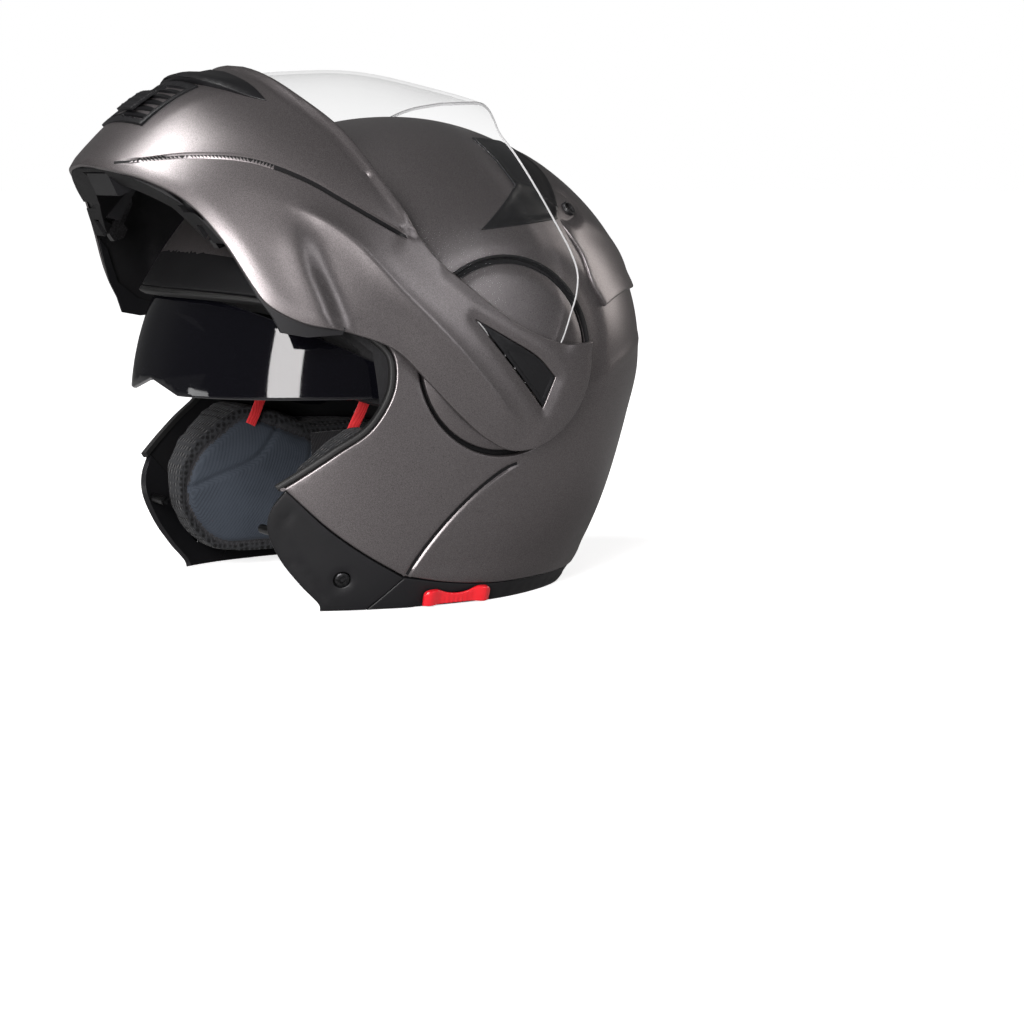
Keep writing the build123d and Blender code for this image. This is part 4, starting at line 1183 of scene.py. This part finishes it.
gslide = panel("chin_vent_slider", GS, [GS_LOOP], [BLACK], "front_vent_shutter", ("front_vent_slider",), "black_gloss",
               h=0.8, disp=gs_disp, thick=0.9, edge=0.4, rings=3, matmap=(0, 0, 0))

# ================================================================ black peak piece under the visor's edge
PK = CHIN.off(0.6)
PK_EDGE = join(
    line([(-160, 322), (-150, 298), (-141, 285)], 2)[:-1],
    smooth([(-141, 285), (-134, 280), (-126, 276.4), (-118, 273.6), (-112.5, 272.2)], 1.5)[:-1],
    smooth([(-112.5, 272.2), (-113.6, 276), (-116, 283), (-119, 293), (-121, 322)], 1.5)[:-1],
    line([(-121, 322), (-160, 322)], 4)[:-1])
PK_LOOP = loop_uv(PK, PK_EDGE)
PK_FRONT = dedupe(PK.uv(smooth([(-150, 298), (-141, 285), (-134, 280), (-126, 276.4), (-118, 273.6)], 1.5)), 0.3, False)


def pk_disp(U, P):
    D, S, T = seg_dist(U, PK_FRONT)
    E, _, _ = seg_dist(U, PK_LOOP, True)
    tip = sstep(62, 34, np.abs(P[:, 0]))
    return (3.4 * (1 - sstep(1.5, 15, D)) ** 1.2 + 0.4) * tip * sstep(-0.2, 2.0, E + 1.4)


peak = panel("peak_piece", PK, [PK_LOOP], [BLACK], "chin_bar", ("peak_trim",), "black_trim",
             h=1.7, disp=pk_disp, thick=0.8, edge=0.5, matmap=(0, 0, 0))

# ================================================================ rear crown vents
RV = SHELL.off(0.5)
RV_EDGE = smooth(VENT, 1.6, closed=True, corners=(0, 1, 2, 3, 6))
RV_LOOP = dedupe(RV.uv(RV_EDGE), 0.25)
RV_BLADE = dedupe(RV.uv(smooth([(22, 227), (33, 224), (45, 214)], 1.5)), 0.3, False)


def rv_disp(U, P):
    D, S, T = seg_dist(U, RV_LOOP, True)
    E, Se, Te = seg_dist(U, RV_BLADE)
    d = 1.4 - 0.55 * sstep(0.8, 3.5, D)
    d += 1.5 * np.exp(-(E / 3.2) ** 2)
    d += 0.5 * (Se < 0) * sstep(2, 7, E)
    return d


rvent = panel("rear_vents", RV, [RV_LOOP], [BLACK_DEEP, BLACK, BLACK], "shell", ("rear_vent_left", "rear_vent_right"), "black_gloss",
              feats=[RV_BLADE[2:-2]], h=1.7, disp=rv_disp, thick=0.9, edge=0.5, mid_ok=False, matmap=(0, 1, 2))

# ================================================================ raised rear panel with the exhaust ports
SP = SHELL.off(0.3)
SP_EDGE = join(
    smooth([(45.5, 207.5), (51, 221.5), (53.5, 236), (48, 246), (44, 252)], 1.8)[:-1],
    line([(44, 252), (52, 272), (150, 272), (190, 168)], 4)[:-1],
    line([(190, 168), (150, 168)], 4)[:-1],
    smooth([(150, 168), (122, 167.4), (92, 167), (78, 164), (68, 160)], 2.0)[:-1],
    smooth([(68, 160), (60.5, 172), (56, 188), (50, 199), (45.5, 207.5)], 2.0)[:-1])
SP_LOOP = loop_uv(SP, SP_EDGE)
SP_HOLE = SP.uv(circle(57.5, 213, 4.45, 44))
SP_TOP = dedupe(SP.uv(smooth([(45.5, 207.5), (51, 221.5), (53.5, 236), (48, 246), (44, 252)], 1.8)), 0.3, False)
SP_LOW = dedupe(SP.uv(line([(68, 160), (92, 167), (122, 167.4), (150, 168)], 2.0)), 0.3, False)
SP_KEEL = dedupe(SP.uv(smooth([(52, 203), (66, 205), (84, 199), (104, 186), (122, 170)], 2.0)), 0.3, False)


def sp_disp(U, P):
    d = np.full(len(U), 2.6)
    D, S, T = seg_dist(U, SP_TOP)
    d -= 1.7 * (1 - sstep(0, 16, D))
    D, S, T = seg_dist(U, SP_LOW)
    d += 0.9 * (1 - sstep(1, 12, D))
    r = np.hypot(P[:, 1] - 57.5, P[:, 2] - 213)
    d -= 1.3 * sstep(12, 5.5, r)
    D, S, T = seg_dist(U, SP_KEEL)
    d += 0.7 * np.exp(-(D / 5.0) ** 2)
    return d


spoiler = panel("rear_panel", SP, [SP_LOOP, SP_HOLE], [PAINT], "shell", ("rear_spoiler",), "shell_paint",
                feats=not_past_middle([SP_KEEL[3:-3]]), h=2.4, disp=sp_disp, thick=0.7, edge=1.0, matmap=(0, 0, 0))

parts = []
for r0, r1, dd, mi in ((4.35, 2.9, 3.0, 0),):
    K = 44
    cu = SP.uv(circle(57.5, 213, 1.0, K))
    c0 = SP.uv(np.array([[57.5, 213.0]]))
    N = SP.nrm(c0)[0]
    O = SP.pos(c0)[0]
    t1 = np.cross(N, [0, 0, 1.0]); t1 /= np.linalg.norm(t1)
    t2 = np.cross(N, t1)
    # the outlet is closed at the bottom by a black disc: partly the black port plastic, partly painted shade standing
    # in for the dark depth of the open hole
    prof = [(4.35, -0.2), (4.35, 2.4), (4.1, 2.75), (3.6, 2.8), (3.25, 2.5), (3.0, 1.6), (2.7, 0.4), (0.0, 0.1)]
    V, F = [], []
    for r, hgt in prof:
        for i in range(K):
            a = 2 * math.pi * i / K
            V.append(O + N * hgt + (t1 * math.cos(a) + t2 * math.sin(a)) * r)
    for j in range(len(prof) - 1):
        for i in range(K):
            F.append([j * K + i, j * K + (i + 1) % K, (j + 1) * K + (i + 1) % K, (j + 1) * K + i])
    V = np.array(V)
    mm_ = [0 if f[0] < 4 * K else 1 for f in F]
    parts.append((V, F, mm_))
    parts.append((V * [-1, 1, 1], [f[::-1] for f in F], mm_))
ports = joined("exhaust_outlets", parts, [BLACK, BLACK_ROUGH], 50)
finish_piece(ports, "shell", ("exhaust_ports",))

# ================================================================ lower trims
TR = SHELL.off(0.3)
FT_EDGE = join(
    smooth([(-121, 67.4), (-99, 45.5), (-79, 30.5), (-57.2, 17.2)], 1.6)[:-1],
    smooth([(-57.2, 17.2), (-65, 10), (-74.2, 1.8), (-75.8, 0.1)], 1.6)[:-1],
    line([(-75.8, 0.1), (-99, 0.1)], 1.6)[:-1],
    smooth([(-99, 0.1), (-99.5, 3), (-110, 15), (-121, 30), (-128, 47), (-127, 57), (-121, 67.4)], 1.6, corners=(0,))[:-1])
FT_LOOP = dedupe(TR.uv(FT_EDGE), 0.25)
FT_HOLE = TR.uv(circle(-90.0, 17.5, 4.35, 40))
FT_FL = dedupe(TR.uv(smooth([(-95, 3), (-104, 16), (-115, 31), (-121, 46), (-117, 61)], 1.6)), 0.3, False)


def ft_disp(U, P):
    d = np.zeros(len(U))
    r = np.hypot(P[:, 1] + 90.0, P[:, 2] - 17.5)
    d -= 0.7 * (1 - sstep(5.4, 6.4, r))
    D, S, T = seg_dist(U, FT_FL)
    front = np.where(S < 0, 1, -1)
    tt = sstep(0, 6, T) * (1 - sstep(T.max() - 8, T.max(), T))
    d += -0.8 * np.exp(-((D - 0.6) / 1.1) ** 2) * tt
    return d


ftrim = panel("front_trims", TR, [FT_LOOP, FT_HOLE], [BLACK], "shell", ("front_trim_left", "front_trim_right"), "black_trim",
              feats=[FT_FL], h=1.9, disp=ft_disp, thick=3.9, edge=0.7, mid_ok=False, matmap=(0, 0, 0))

# countersunk screws with a star recess
parts = []
c0 = TR.uv(np.array([[-90.0, 17.5]]))
N = TR.nrm(c0)[0]
O = TR.pos(c0)[0]
t1 = np.cross(N, [0, 0, 1.0]); t1 /= np.linalg.norm(t1)
t2 = np.cross(N, t1)
K = 48
prof = [(4.1, -2.2, 0), (4.1, -0.75, 0), (3.9, -0.5, 0), (3.3, -0.25, 0), (2.3, -0.12, 0), (1.95, -0.15, 1), (1.8, -1.6, 1), (0.0, -1.8, 1)]
V, F = [], []
for r, hgt, star in prof:
    for i in range(K):
        a = 2 * math.pi * i / K
        rr = r * (1 - 0.16 * star * (0.5 - 0.5 * math.cos(6 * a)))
        V.append(O + N * hgt + (t1 * math.cos(a) + t2 * math.sin(a)) * rr)
for j in range(len(prof) - 1):
    for i in range(K):
        F.append([j * K + i, j * K + (i + 1) % K, (j + 1) * K + (i + 1) % K, (j + 1) * K + i])
V = np.array(V)
parts.append((V, F, 0))
parts.append((V * [-1, 1, 1], [f[::-1] for f in F], 0))
screws = joined("trim_screw_heads", parts, [DARKSTEEL], 30)
finish_piece(screws, "shell", ("trim_screws",))

RT_EDGE = join(
    smooth([(-56.6, 17.2), (-31, 12.7), (-4, 9.9), (26, 9.3), (68, 9.7), (112, 12.2), (150, 14.7)], 2.0),
    line([(210, 14.7), (210, 0.1), (-75.2, 0.1)], 2.5)[:-1],
    smooth([(-75.2, 0.1), (-73.4, 1.8), (-64.6, 10), (-56.6, 17.2)], 1.6)[:-1])
RT_LOOP = loop_uv(TR, RT_EDGE, 0.2)
SLOT = line([(-41.5, 2.6), (-10.5, 2.6), (-10.5, 6.9), (-41.5, 6.9)], 1.2, closed=True)
RT_SLOT = dedupe(TR.uv(SLOT), 0.2)


def rt_disp(U, P):
    d = np.zeros(len(U))
    # stepped lower lip
    d += 0.5 * sstep(4.2, 3.2, P[:, 2]) * sstep(-70, -50, P[:, 1]) * (np.abs(P[:, 1] + 26) > 24)
    return d


VL, FL_, tl = panel_data(TR, [RT_LOOP, RT_SLOT], h=1.7, disp=rt_disp, thick=3.9, edge=0.6)
VR, FR_, tr_ = panel_data(TR, [RT_LOOP], h=1.7, disp=rt_disp, thick=3.9, edge=0.6)
SB = TR.off(-2.4)
VB, FB, tb = panel_data(SB, [dedupe(SB.uv(line([(-42.6, 1.6), (-9.4, 1.6), (-9.4, 7.9), (-42.6, 7.9)], 1.6, closed=True)), 0.2)], h=2.0, thick=0.8, edge=0.2, rings=2, mid_ok=False)
rtrim = joined("rim_band", [(VL, FL_, 0), (VR * [-1, 1, 1], [f[::-1] for f in FR_], 0), (VB, FB, 0)], [BLACK], 38)
finish_piece(rtrim, "shell", ("rear_trim",))

# ================================================================ red slider
SL = SHELL.off(2.0)
SL_EDGE = smooth([(-45, 1.2), (-44.4, 8.4), (-38, 9.7), (-31, 7.5), (-24.5, 6.7), (-18, 7.5), (-11, 9.7), (-4.6, 8.4), (-4, 1.2)], 1.0, corners=(0, 8))
SL_LOOP = dedupe(SL.uv(join(SL_EDGE[:-1], line([(-4, 1.2), (-45, 1.2)], 1.0)[:-1])), 0.2)


def sl_disp(U, P):
    y = P[:, 1] + 24.5
    d = 0.5 + 2.0 * sstep(9, 17, np.abs(y)) - 0.9 * sstep(17, 20.5, np.abs(y))
    d += 0.22 * np.cos(y * 2 * math.pi / 2.8) * sstep(9.5, 7.5, np.abs(y))
    return d


slider = panel("sun_visor_thumb_slider", SL, [SL_LOOP], [RED], "sun_slider", ("sun_visor_slider",), "red_plastic",
               sym=False, side=1, h=0.8, disp=sl_disp, thick=0.4, edge=0.7, rings=4, mid_ok=False, matmap=(0, 0, 0))

# ================================================================ rubber bead round the face opening
e_line = smooth([(-175, 174)] + EYE[1:], 1.8)
near = shift(e_line, -0.35)
farr = shift(e_line, -3.4)
BD = SHELL.off(0.1)
BD_LOOP = loop_uv(BD, join(near, farr[::-1]), 0.2)
bead = panel("face_opening_bead", BD, [BD_LOOP], [RUBBER], "shell", ("eyeport_seal",), "bead_rubber",
             h=1.6, thick=4.2, edge=1.1, rings=5, matmap=(0, 0, 0))

# ================================================================ sun visor
up = math.tan(math.radians(26.0))
SUN_EDGE = join(
    smooth([(-190, 114.3), (-120, 114.3), (-62, 114.3)], 3)[:-1],
    smooth([(-62, 114.3), (-44, 105), (-24, 95.5), (-8, 91.8), (4, 92.4), (9, 100), (6, 107), (-8, 111.8)], 1.6)[:-1],
    line([(-8, 111.8), (-54, 126.0), (-190, 100 + 190 * up)], 3)[:-1],
    line([(-190, 100 + 190 * up), (-190, 114.3)], 2.5)[:-1])
SUN_LOOP = loop_uv(SUN, SUN_EDGE)
# relief for the nose in the lower edge
q = np.hypot(SUN_LOOP[:, 0], SUN_LOOP[:, 1]) / R0
Pz = SUN.pos(SUN_LOOP)
lowmask = (Pz[:, 2] < 116) & (Pz[:, 1] < -60)
lift = 9.0 * sstep(30, 4, Pz[:, 0]) * lowmask
lift = np.where((q > 0.9999) & (Pz[:, 2] < 121.5), 0, lift)
SUN_LOOP2 = SUN.uv(np.stack([Pz[:, 1], Pz[:, 2] + lift], -1))
SUN_LOOP2 = SUN_LOOP2[~((q > 0.9999) & (Pz[:, 2] < 123.2))]
SUN_LOOP2 = dedupe(SUN_LOOP2, 0.25)
SUN_HOLE = SUN.uv(circle(0, 100, 3.1, 32))
sunv = panel("sun_visor_lens", SUN, [SUN_LOOP2, SUN_HOLE], [SMOKE, GLOSS, SMOKE], "sun_visor_body", ("sun_visor",), "dark_shield",
             h=3.6, thick=2.1, edge=0.6, rings=3, matmap=(0, 1, 2))


# ================================================================ kept parts: better materials
def dress(node, m, slot=None):
    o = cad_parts.get(node)
    if o is None:
        return
    for sl in o.material_slots:
        sl.material = m
    if not o.material_slots:
        o.data.materials.append(m)


for n in ("chin_bar_liner",):
    dress(n, BLACK_ROUGH)
for n in ("corner_guard_left", "corner_guard_right", "latch_block_left", "latch_block_right", "release_button", "pivot_plate_left", "pivot_plate_right", "visor_hubs"):
    dress(n, BLACK)
for n in ("breath_deflector", "visor_sill"):
    dress(n, RUBBER)
for n in ("latch_hook_left", "latch_hook_right", "latch_pins", "striker_pins", "pivot_pins", "sun_visor_pins"):
    dress(n, DARKSTEEL)
for n in ("foam_crown", "foam_brow", "foam_rear", "foam_left", "foam_right"):
    dress(n, FOAM)


# ================================================================ padded pieces
def arrays(me):
    n = len(me.vertices)
    V = np.zeros(n * 3)
    me.vertices.foreach_get("co", V)
    N = np.zeros(n * 3)
    me.vertices.foreach_get("normal", N)
    return V.reshape(-1, 3) / MM, N.reshape(-1, 3)


def set_coords(me, V):
    me.vertices.foreach_set("co", (np.asarray(V) * MM).ravel())
    me.update()


def evaluated(o):
    dg = bpy.context.evaluated_depsgraph_get()
    me = bpy.data.meshes.new_from_object(o.evaluated_get(dg))
    return me


def swap(o, me):
    old = o.data
    o.modifiers.clear()
    o.data = me
    bpy.data.meshes.remove(old)


def puffed(name, node, voxel, shrink, pressure, cap, hold, levels=1, pre=None):
    """Padded piece grown from the CAD solid: remeshed, shrunk, blown up as cloth where hold(V, N) is below 1, then subdivided."""
    srcs = [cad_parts[q] for q in ((node,) if isinstance(node, str) else node)]
    VV, FF, base_n = [], [], 0
    for src in srcs:
        Vs, _ = arrays(src.data)
        VV.append(Vs)
        FF += [[i + base_n for i in p.vertices] for p in src.data.polygons]
        base_n += len(Vs)
    me = bpy.data.meshes.new(name)
    me.from_pydata((np.concatenate(VV) * MM).tolist(), [], FF)
    me.update()
    o = bpy.data.objects.new(name, me)
    bpy.context.scene.collection.objects.link(o)
    md = o.modifiers.new("r", "REMESH")
    md.mode = "VOXEL"
    md.voxel_size = voxel * MM
    md.use_smooth_shade = True
    swap(o, evaluated(o))
    sm = o.modifiers.new("s", "SMOOTH")
    sm.factor = 0.5
    sm.iterations = 3
    swap(o, evaluated(o))
    V, N = arrays(o.data)
    V = V - N * shrink
    if pre is not None:
        V = pre(V, N)
    set_coords(o.data, V)
    V0 = V.copy()
    H = np.clip(hold(V, N), 0, 1)
    vg = o.vertex_groups.new(name="pin")
    for i in np.nonzero(H > 0.02)[0]:
        vg.add([int(i)], float(H[i]), "REPLACE")
    cl = o.modifiers.new("c", "CLOTH")
    st = cl.settings
    st.quality = 5
    st.mass = 0.3
    st.tension_stiffness = 12
    st.compression_stiffness = 12
    st.shear_stiffness = 5
    st.bending_stiffness = 0.6
    st.use_pressure = True
    st.uniform_pressure_force = pressure
    st.vertex_group_mass = "pin"
    st.effector_weights.gravity = 0
    cl.collision_settings.use_collision = False
    cl.point_cache.frame_start = 1
    cl.point_cache.frame_end = 20
    for f in range(1, 21):
        bpy.context.scene.frame_set(f)
    me2 = evaluated(o)
    V2, N2 = arrays(me2)
    bpy.context.scene.frame_set(1)
    o.modifiers.clear()
    D = V2 - V0
    L = np.linalg.norm(D, axis=1)
    L = np.where(np.isfinite(L), L, 0)
    D = np.where(np.isfinite(D), D, 0)
    k = np.minimum(1, cap / np.maximum(L, 1e-6))
    V0 = V0 + D * (k * (1 - H))[:, None]
    set_coords(o.data, V0)
    bpy.data.meshes.remove(me2)
    o.vertex_groups.clear()
    sd = o.modifiers.new("d", "SUBSURF")
    sd.levels = levels
    sd.render_levels = levels
    swap(o, evaluated(o))
    return o


def seam(o, lines, depth=1.4, width=2.0, facing=None, closed=True, axes=(1, 2)):
    """Presses sewn seams into the piece along side-view lines."""
    V, N = arrays(o.data)
    A = V[:, axes]
    d = np.zeros(len(V))
    for L in lines:
        D, S, T = seg_dist(A, L, closed)
        d = np.maximum(d, np.exp(-(D / width) ** 2))
    f = 1.0 if facing is None else facing(V, N)
    V = V - N * (depth * d * f)[:, None]
    set_coords(o.data, V)


def soft_finish(o, body, node, mats, fmat=None):
    me = o.data
    me.materials.clear()
    for m in mats:
        me.materials.append(m)
    if fmat is not None:
        me.polygons.foreach_set("material_index", np.asarray(fmat, dtype=np.int32))
    me.polygons.foreach_set("use_smooth", np.ones(len(me.polygons), dtype=bool))
    me.update()
    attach(o, body)
    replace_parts(o, *node) if isinstance(node, tuple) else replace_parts(o, node)


def face_arrays(me):
    n = len(me.polygons)
    C = np.zeros(n * 3)
    me.polygons.foreach_get("center", C)
    N = np.zeros(n * 3)
    me.polygons.foreach_get("normal", N)
    return C.reshape(-1, 3) / MM, N.reshape(-1, 3)


PAD_PANEL = smooth([(-105, 57), (-98, 70), (-86, 80), (-69, 90), (-51, 85), (-26, 76), (23, 74.5), (27, 58), (28, 22), (19, 16), (-60, 15.5), (-84, 17), (-97, 26), (-106, 42)], 2.0, closed=True)
PAD_SEAM = smooth([(-105, 50), (-84, 58), (-64, 66), (-48, 84)], 2.0)
PAD_SEAM2 = smooth([(-46, 16), (-40, 40), (-30, 62), (-26, 76)], 2.0)
for sx, sn in ((1, "left"), (-1, "right")):
    def hold(V, N, sx=sx):
        # held by the shell: outer side and the flat lower edge
        return sstep(0.35, 0.75, N[:, 0] * sx) + 0.5 * sstep(0.5, 0.9, -N[:, 2])

    def pre(V, N, sx=sx):
        # crown of the inner face and a dished ear side
        inn = sstep(0.3, 0.8, -N[:, 0] * sx)
        r = np.hypot((V[:, 1] + 40) / 62.0, (V[:, 2] - 52) / 38.0)
        V = V.copy()
        V[:, 0] += sx * inn * (3.0 * sstep(0.25, 1.15, r))
        return V

    o = puffed("cheek_pad_" + sn + "_cover", "cheek_pad_" + sn, 4.6, 1.6, 4.0, 6.0, hold, levels=2, pre=pre)
    face = lambda V, N, sx=sx: sstep(0.25, 0.6, -N[:, 0] * sx)
    seam(o, [PAD_PANEL], 1.9, 1.7, face, True)
    seam(o, [PAD_SEAM, PAD_SEAM2], 1.6, 1.5, face, False)
    C, N = face_arrays(o.data)
    slate = (N[:, 0] * sx < -0.25) & inside(C[:, 1:], [PAD_PANEL])
    D1, _, _ = seg_dist(C[:, 1:], PAD_PANEL, True)
    back = N[:, 0] * sx > 0.45
    fm = np.where(slate, 1, np.where(back, 2, 0))
    fm = np.where((D1 < 1.1) & (N[:, 0] * sx < -0.25), 2, fm)
    soft_finish(o, "shell", "cheek_pad_" + sn, [MESHCLOTH, SLATE, LINING], fm)

# crown liner
def hold(V, N):
    rad = V - np.array([0, 0, ZP])
    rad /= np.linalg.norm(rad, axis=1)[:, None]
    return sstep(0.1, 0.6, (N * rad).sum(1))


CROWN = tuple(n for n in ("crown_pad", "liner_front", "liner_rear", "liner_left", "liner_right") if n in HAS)
o = puffed("crown_liner_pad", CROWN, 4.6, 1.3, 3.5, 4.5, hold, levels=1)
V, N = arrays(o.data)
rad = V - np.array([0, 0, ZP])
rad /= np.linalg.norm(rad, axis=1)[:, None]
inn = sstep(0.0, 0.5, -(N * rad).sum(1))
xx, yy = V[:, 0], V[:, 1]
d = np.zeros(len(V))
a1 = np.exp(-((np.abs(xx) - 24) / 1.9) ** 2)
a2 = np.exp(-((yy - 34 + 0.004 * xx ** 2) / 1.9) ** 2)
a3 = np.exp(-((yy + 44 - 0.006 * xx ** 2) / 1.9) ** 2)
a4 = np.exp(-((V[:, 2] - 182) / 1.9) ** 2)
d = np.maximum(np.maximum(a1 * (V[:, 2] > 184), a2), np.maximum(a3, a4))
set_coords(o.data, V - N * (2.0 * d * inn)[:, None])
C, N = face_arrays(o.data)
rad = C - np.array([0, 0, ZP])
rad /= np.linalg.norm(rad, axis=1)[:, None]
mid = (np.abs(C[:, 0]) < 23) & ((N * rad).sum(1) < -0.2)
soft_finish(o, "shell", CROWN, [LINING, MESHCLOTH], np.where(mid, 1, 0))


# neck roll
def hold(V, N):
    rad = V * [1, 1, 0]
    rad = rad / np.maximum(np.linalg.norm(rad, axis=1), 1e-6)[:, None]
    return sstep(0.2, 0.7, (N * rad).sum(1))


o = puffed("neck_roll_cover", "neck_roll", 4.2, 1.5, 4.0, 5.0, hold, levels=2)
V, N = arrays(o.data)
ang = np.degrees(np.arctan2(V[:, 1], V[:, 0]))
d = np.zeros(len(V))
for a in (62, 90, 118):
    d = np.maximum(d, np.exp(-((ang - a) / 1.1) ** 2))
rad = V * [1, 1, 0]
rad = rad / np.maximum(np.linalg.norm(rad, axis=1), 1e-6)[:, None]
inn = sstep(-0.2, 0.3, -(N * rad).sum(1))
d = np.maximum(d, np.exp(-((V[:, 2] - 8.0) / 1.3) ** 2) * 0.8)
set_coords(o.data, V - N * (1.5 * d * inn)[:, None])
soft_finish(o, "shell", "neck_roll", [LINING], None)


# ================================================================ webbing
def ribbon(name, path, width, thick, mats, body, node, twist=0.0, bow=0.0, stitches=(), folds=2.0):
    """Flat woven band along path (x, y, z points, mm); width lies along the side-view normal of the path. stitches are lengths where a sewn bar crosses."""
    P = np.asarray(path, float)
    T = np.gradient(P, axis=0)
    T /= np.linalg.norm(T, axis=1)[:, None]
    W = np.cross(T, np.array([1.0, 0, 0]))
    W /= np.linalg.norm(W, axis=1)[:, None]
    NN = np.cross(W, T)
    L = np.concatenate([[0], np.cumsum(np.linalg.norm(np.diff(P, axis=0), axis=1))])
    k = 14
    prof = []
    for i in range(k + 1):
        u = -1 + 2 * i / k
        e = (1 - abs(u) ** 10)
        rib = 0.10 * math.cos(u * 13 * math.pi) * e
        prof.append((u * width / 2, (thick / 2 * (0.35 + 0.65 * e ** 0.5) + rib)))
    loop = [(a, b) for a, b in prof] + [(a, -b) for a, b in prof[::-1]]
    m = len(loop)
    V, F = [], []
    for i in range(len(P)):
        tw = twist * (L[i] / L[-1] - 0.5)
        Wi = W[i] * math.cos(tw) + NN[i] * math.sin(tw)
        Ni = NN[i] * math.cos(tw) - W[i] * math.sin(tw)
        bar = sum(math.exp(-((L[i] - s) / 1.1) ** 2) for s in stitches)
        for a, b in loop:
            V.append(P[i] + Wi * a + Ni * (b * (1 - 0.18 * bar) + bow * (a / (width / 2)) ** 2))
    for i in range(len(P) - 1):
        for j in range(m):
            F.append([i * m + j, i * m + (j + 1) % m, (i + 1) * m + (j + 1) % m, (i + 1) * m + j])
    F.append(list(range(m))[::-1])
    F.append([(len(P) - 1) * m + j for j in range(m)])
    o = new_object(name, V, F, mats, None, 50)
    finish_piece(o, body, (node,))
    return o


for sx, sn in ((1, "left"), (-1, "right")):
    t = np.linspace(0, 1, 60)
    z = 79.6 - 67.2 * t
    x = sx * (62.5 + 0.25 * np.sin(t * 7.0))
    y = -17 + 0.5 * np.sin(t * 5)
    o = ribbon("chin_strap_" + sn, np.stack([x, y, z], -1), 22.6, 1.2, [WEB], "shell", "strap_" + sn, stitches=(4, 7.5, 56, 60))
    t = np.linspace(0, 1, 40)
    y = -56 - 12 * t
    z = 111.6 - 25.2 * t
    x = sx * (62.4 + 0.45 * np.sin(t * 6.0 + (0.6 if sx > 0 else 0)))
    o = ribbon("red_pull_tab_" + sn, np.stack([x, y, z], -1), 6.4, 1.3, [REDWEB], "shell", "red_pull_" + sn, stitches=(2.5, 25))

# bent-wire D-rings
V, F = [], []
K, M = 96, 14
for x0 in (-60.2, -57.8):
    n0 = len(V)
    pts = []
    for i in range(K):
        a = 2 * math.pi * i / K
        c, s_ = math.cos(a), math.sin(a)
        # straight bar towards the strap, round bow away from it
        y = -17 + 15.3 * np.sign(c) * abs(c) ** (0.55 if c > 0 else 0.9)
        zz = 18 + 10.3 * np.sign(s_) * abs(s_) ** (0.62 if c > 0 else 0.95)
        pts.append((x0, y, zz))
    P = np.array(pts)
    for i in range(K):
        T = P[(i + 1) % K] - P[i - 1]
        T /= np.linalg.norm(T)
        A = np.array([1.0, 0, 0])
        B = np.cross(T, A)
        for j in range(M):
            b = 2 * math.pi * j / M
            V.append(P[i] + A * math.cos(b) * 1.0 + B * math.sin(b) * 1.45)
    for i in range(K):
        for j in range(M):
            F.append([n0 + i * M + j, n0 + i * M + (j + 1) % M, n0 + ((i + 1) % K) * M + (j + 1) % M, n0 + ((i + 1) % K) * M + j])
o = new_object("double_d_rings", V, F, [STEEL], None, 40)
finish_piece(o, "shell", ("d_rings",))
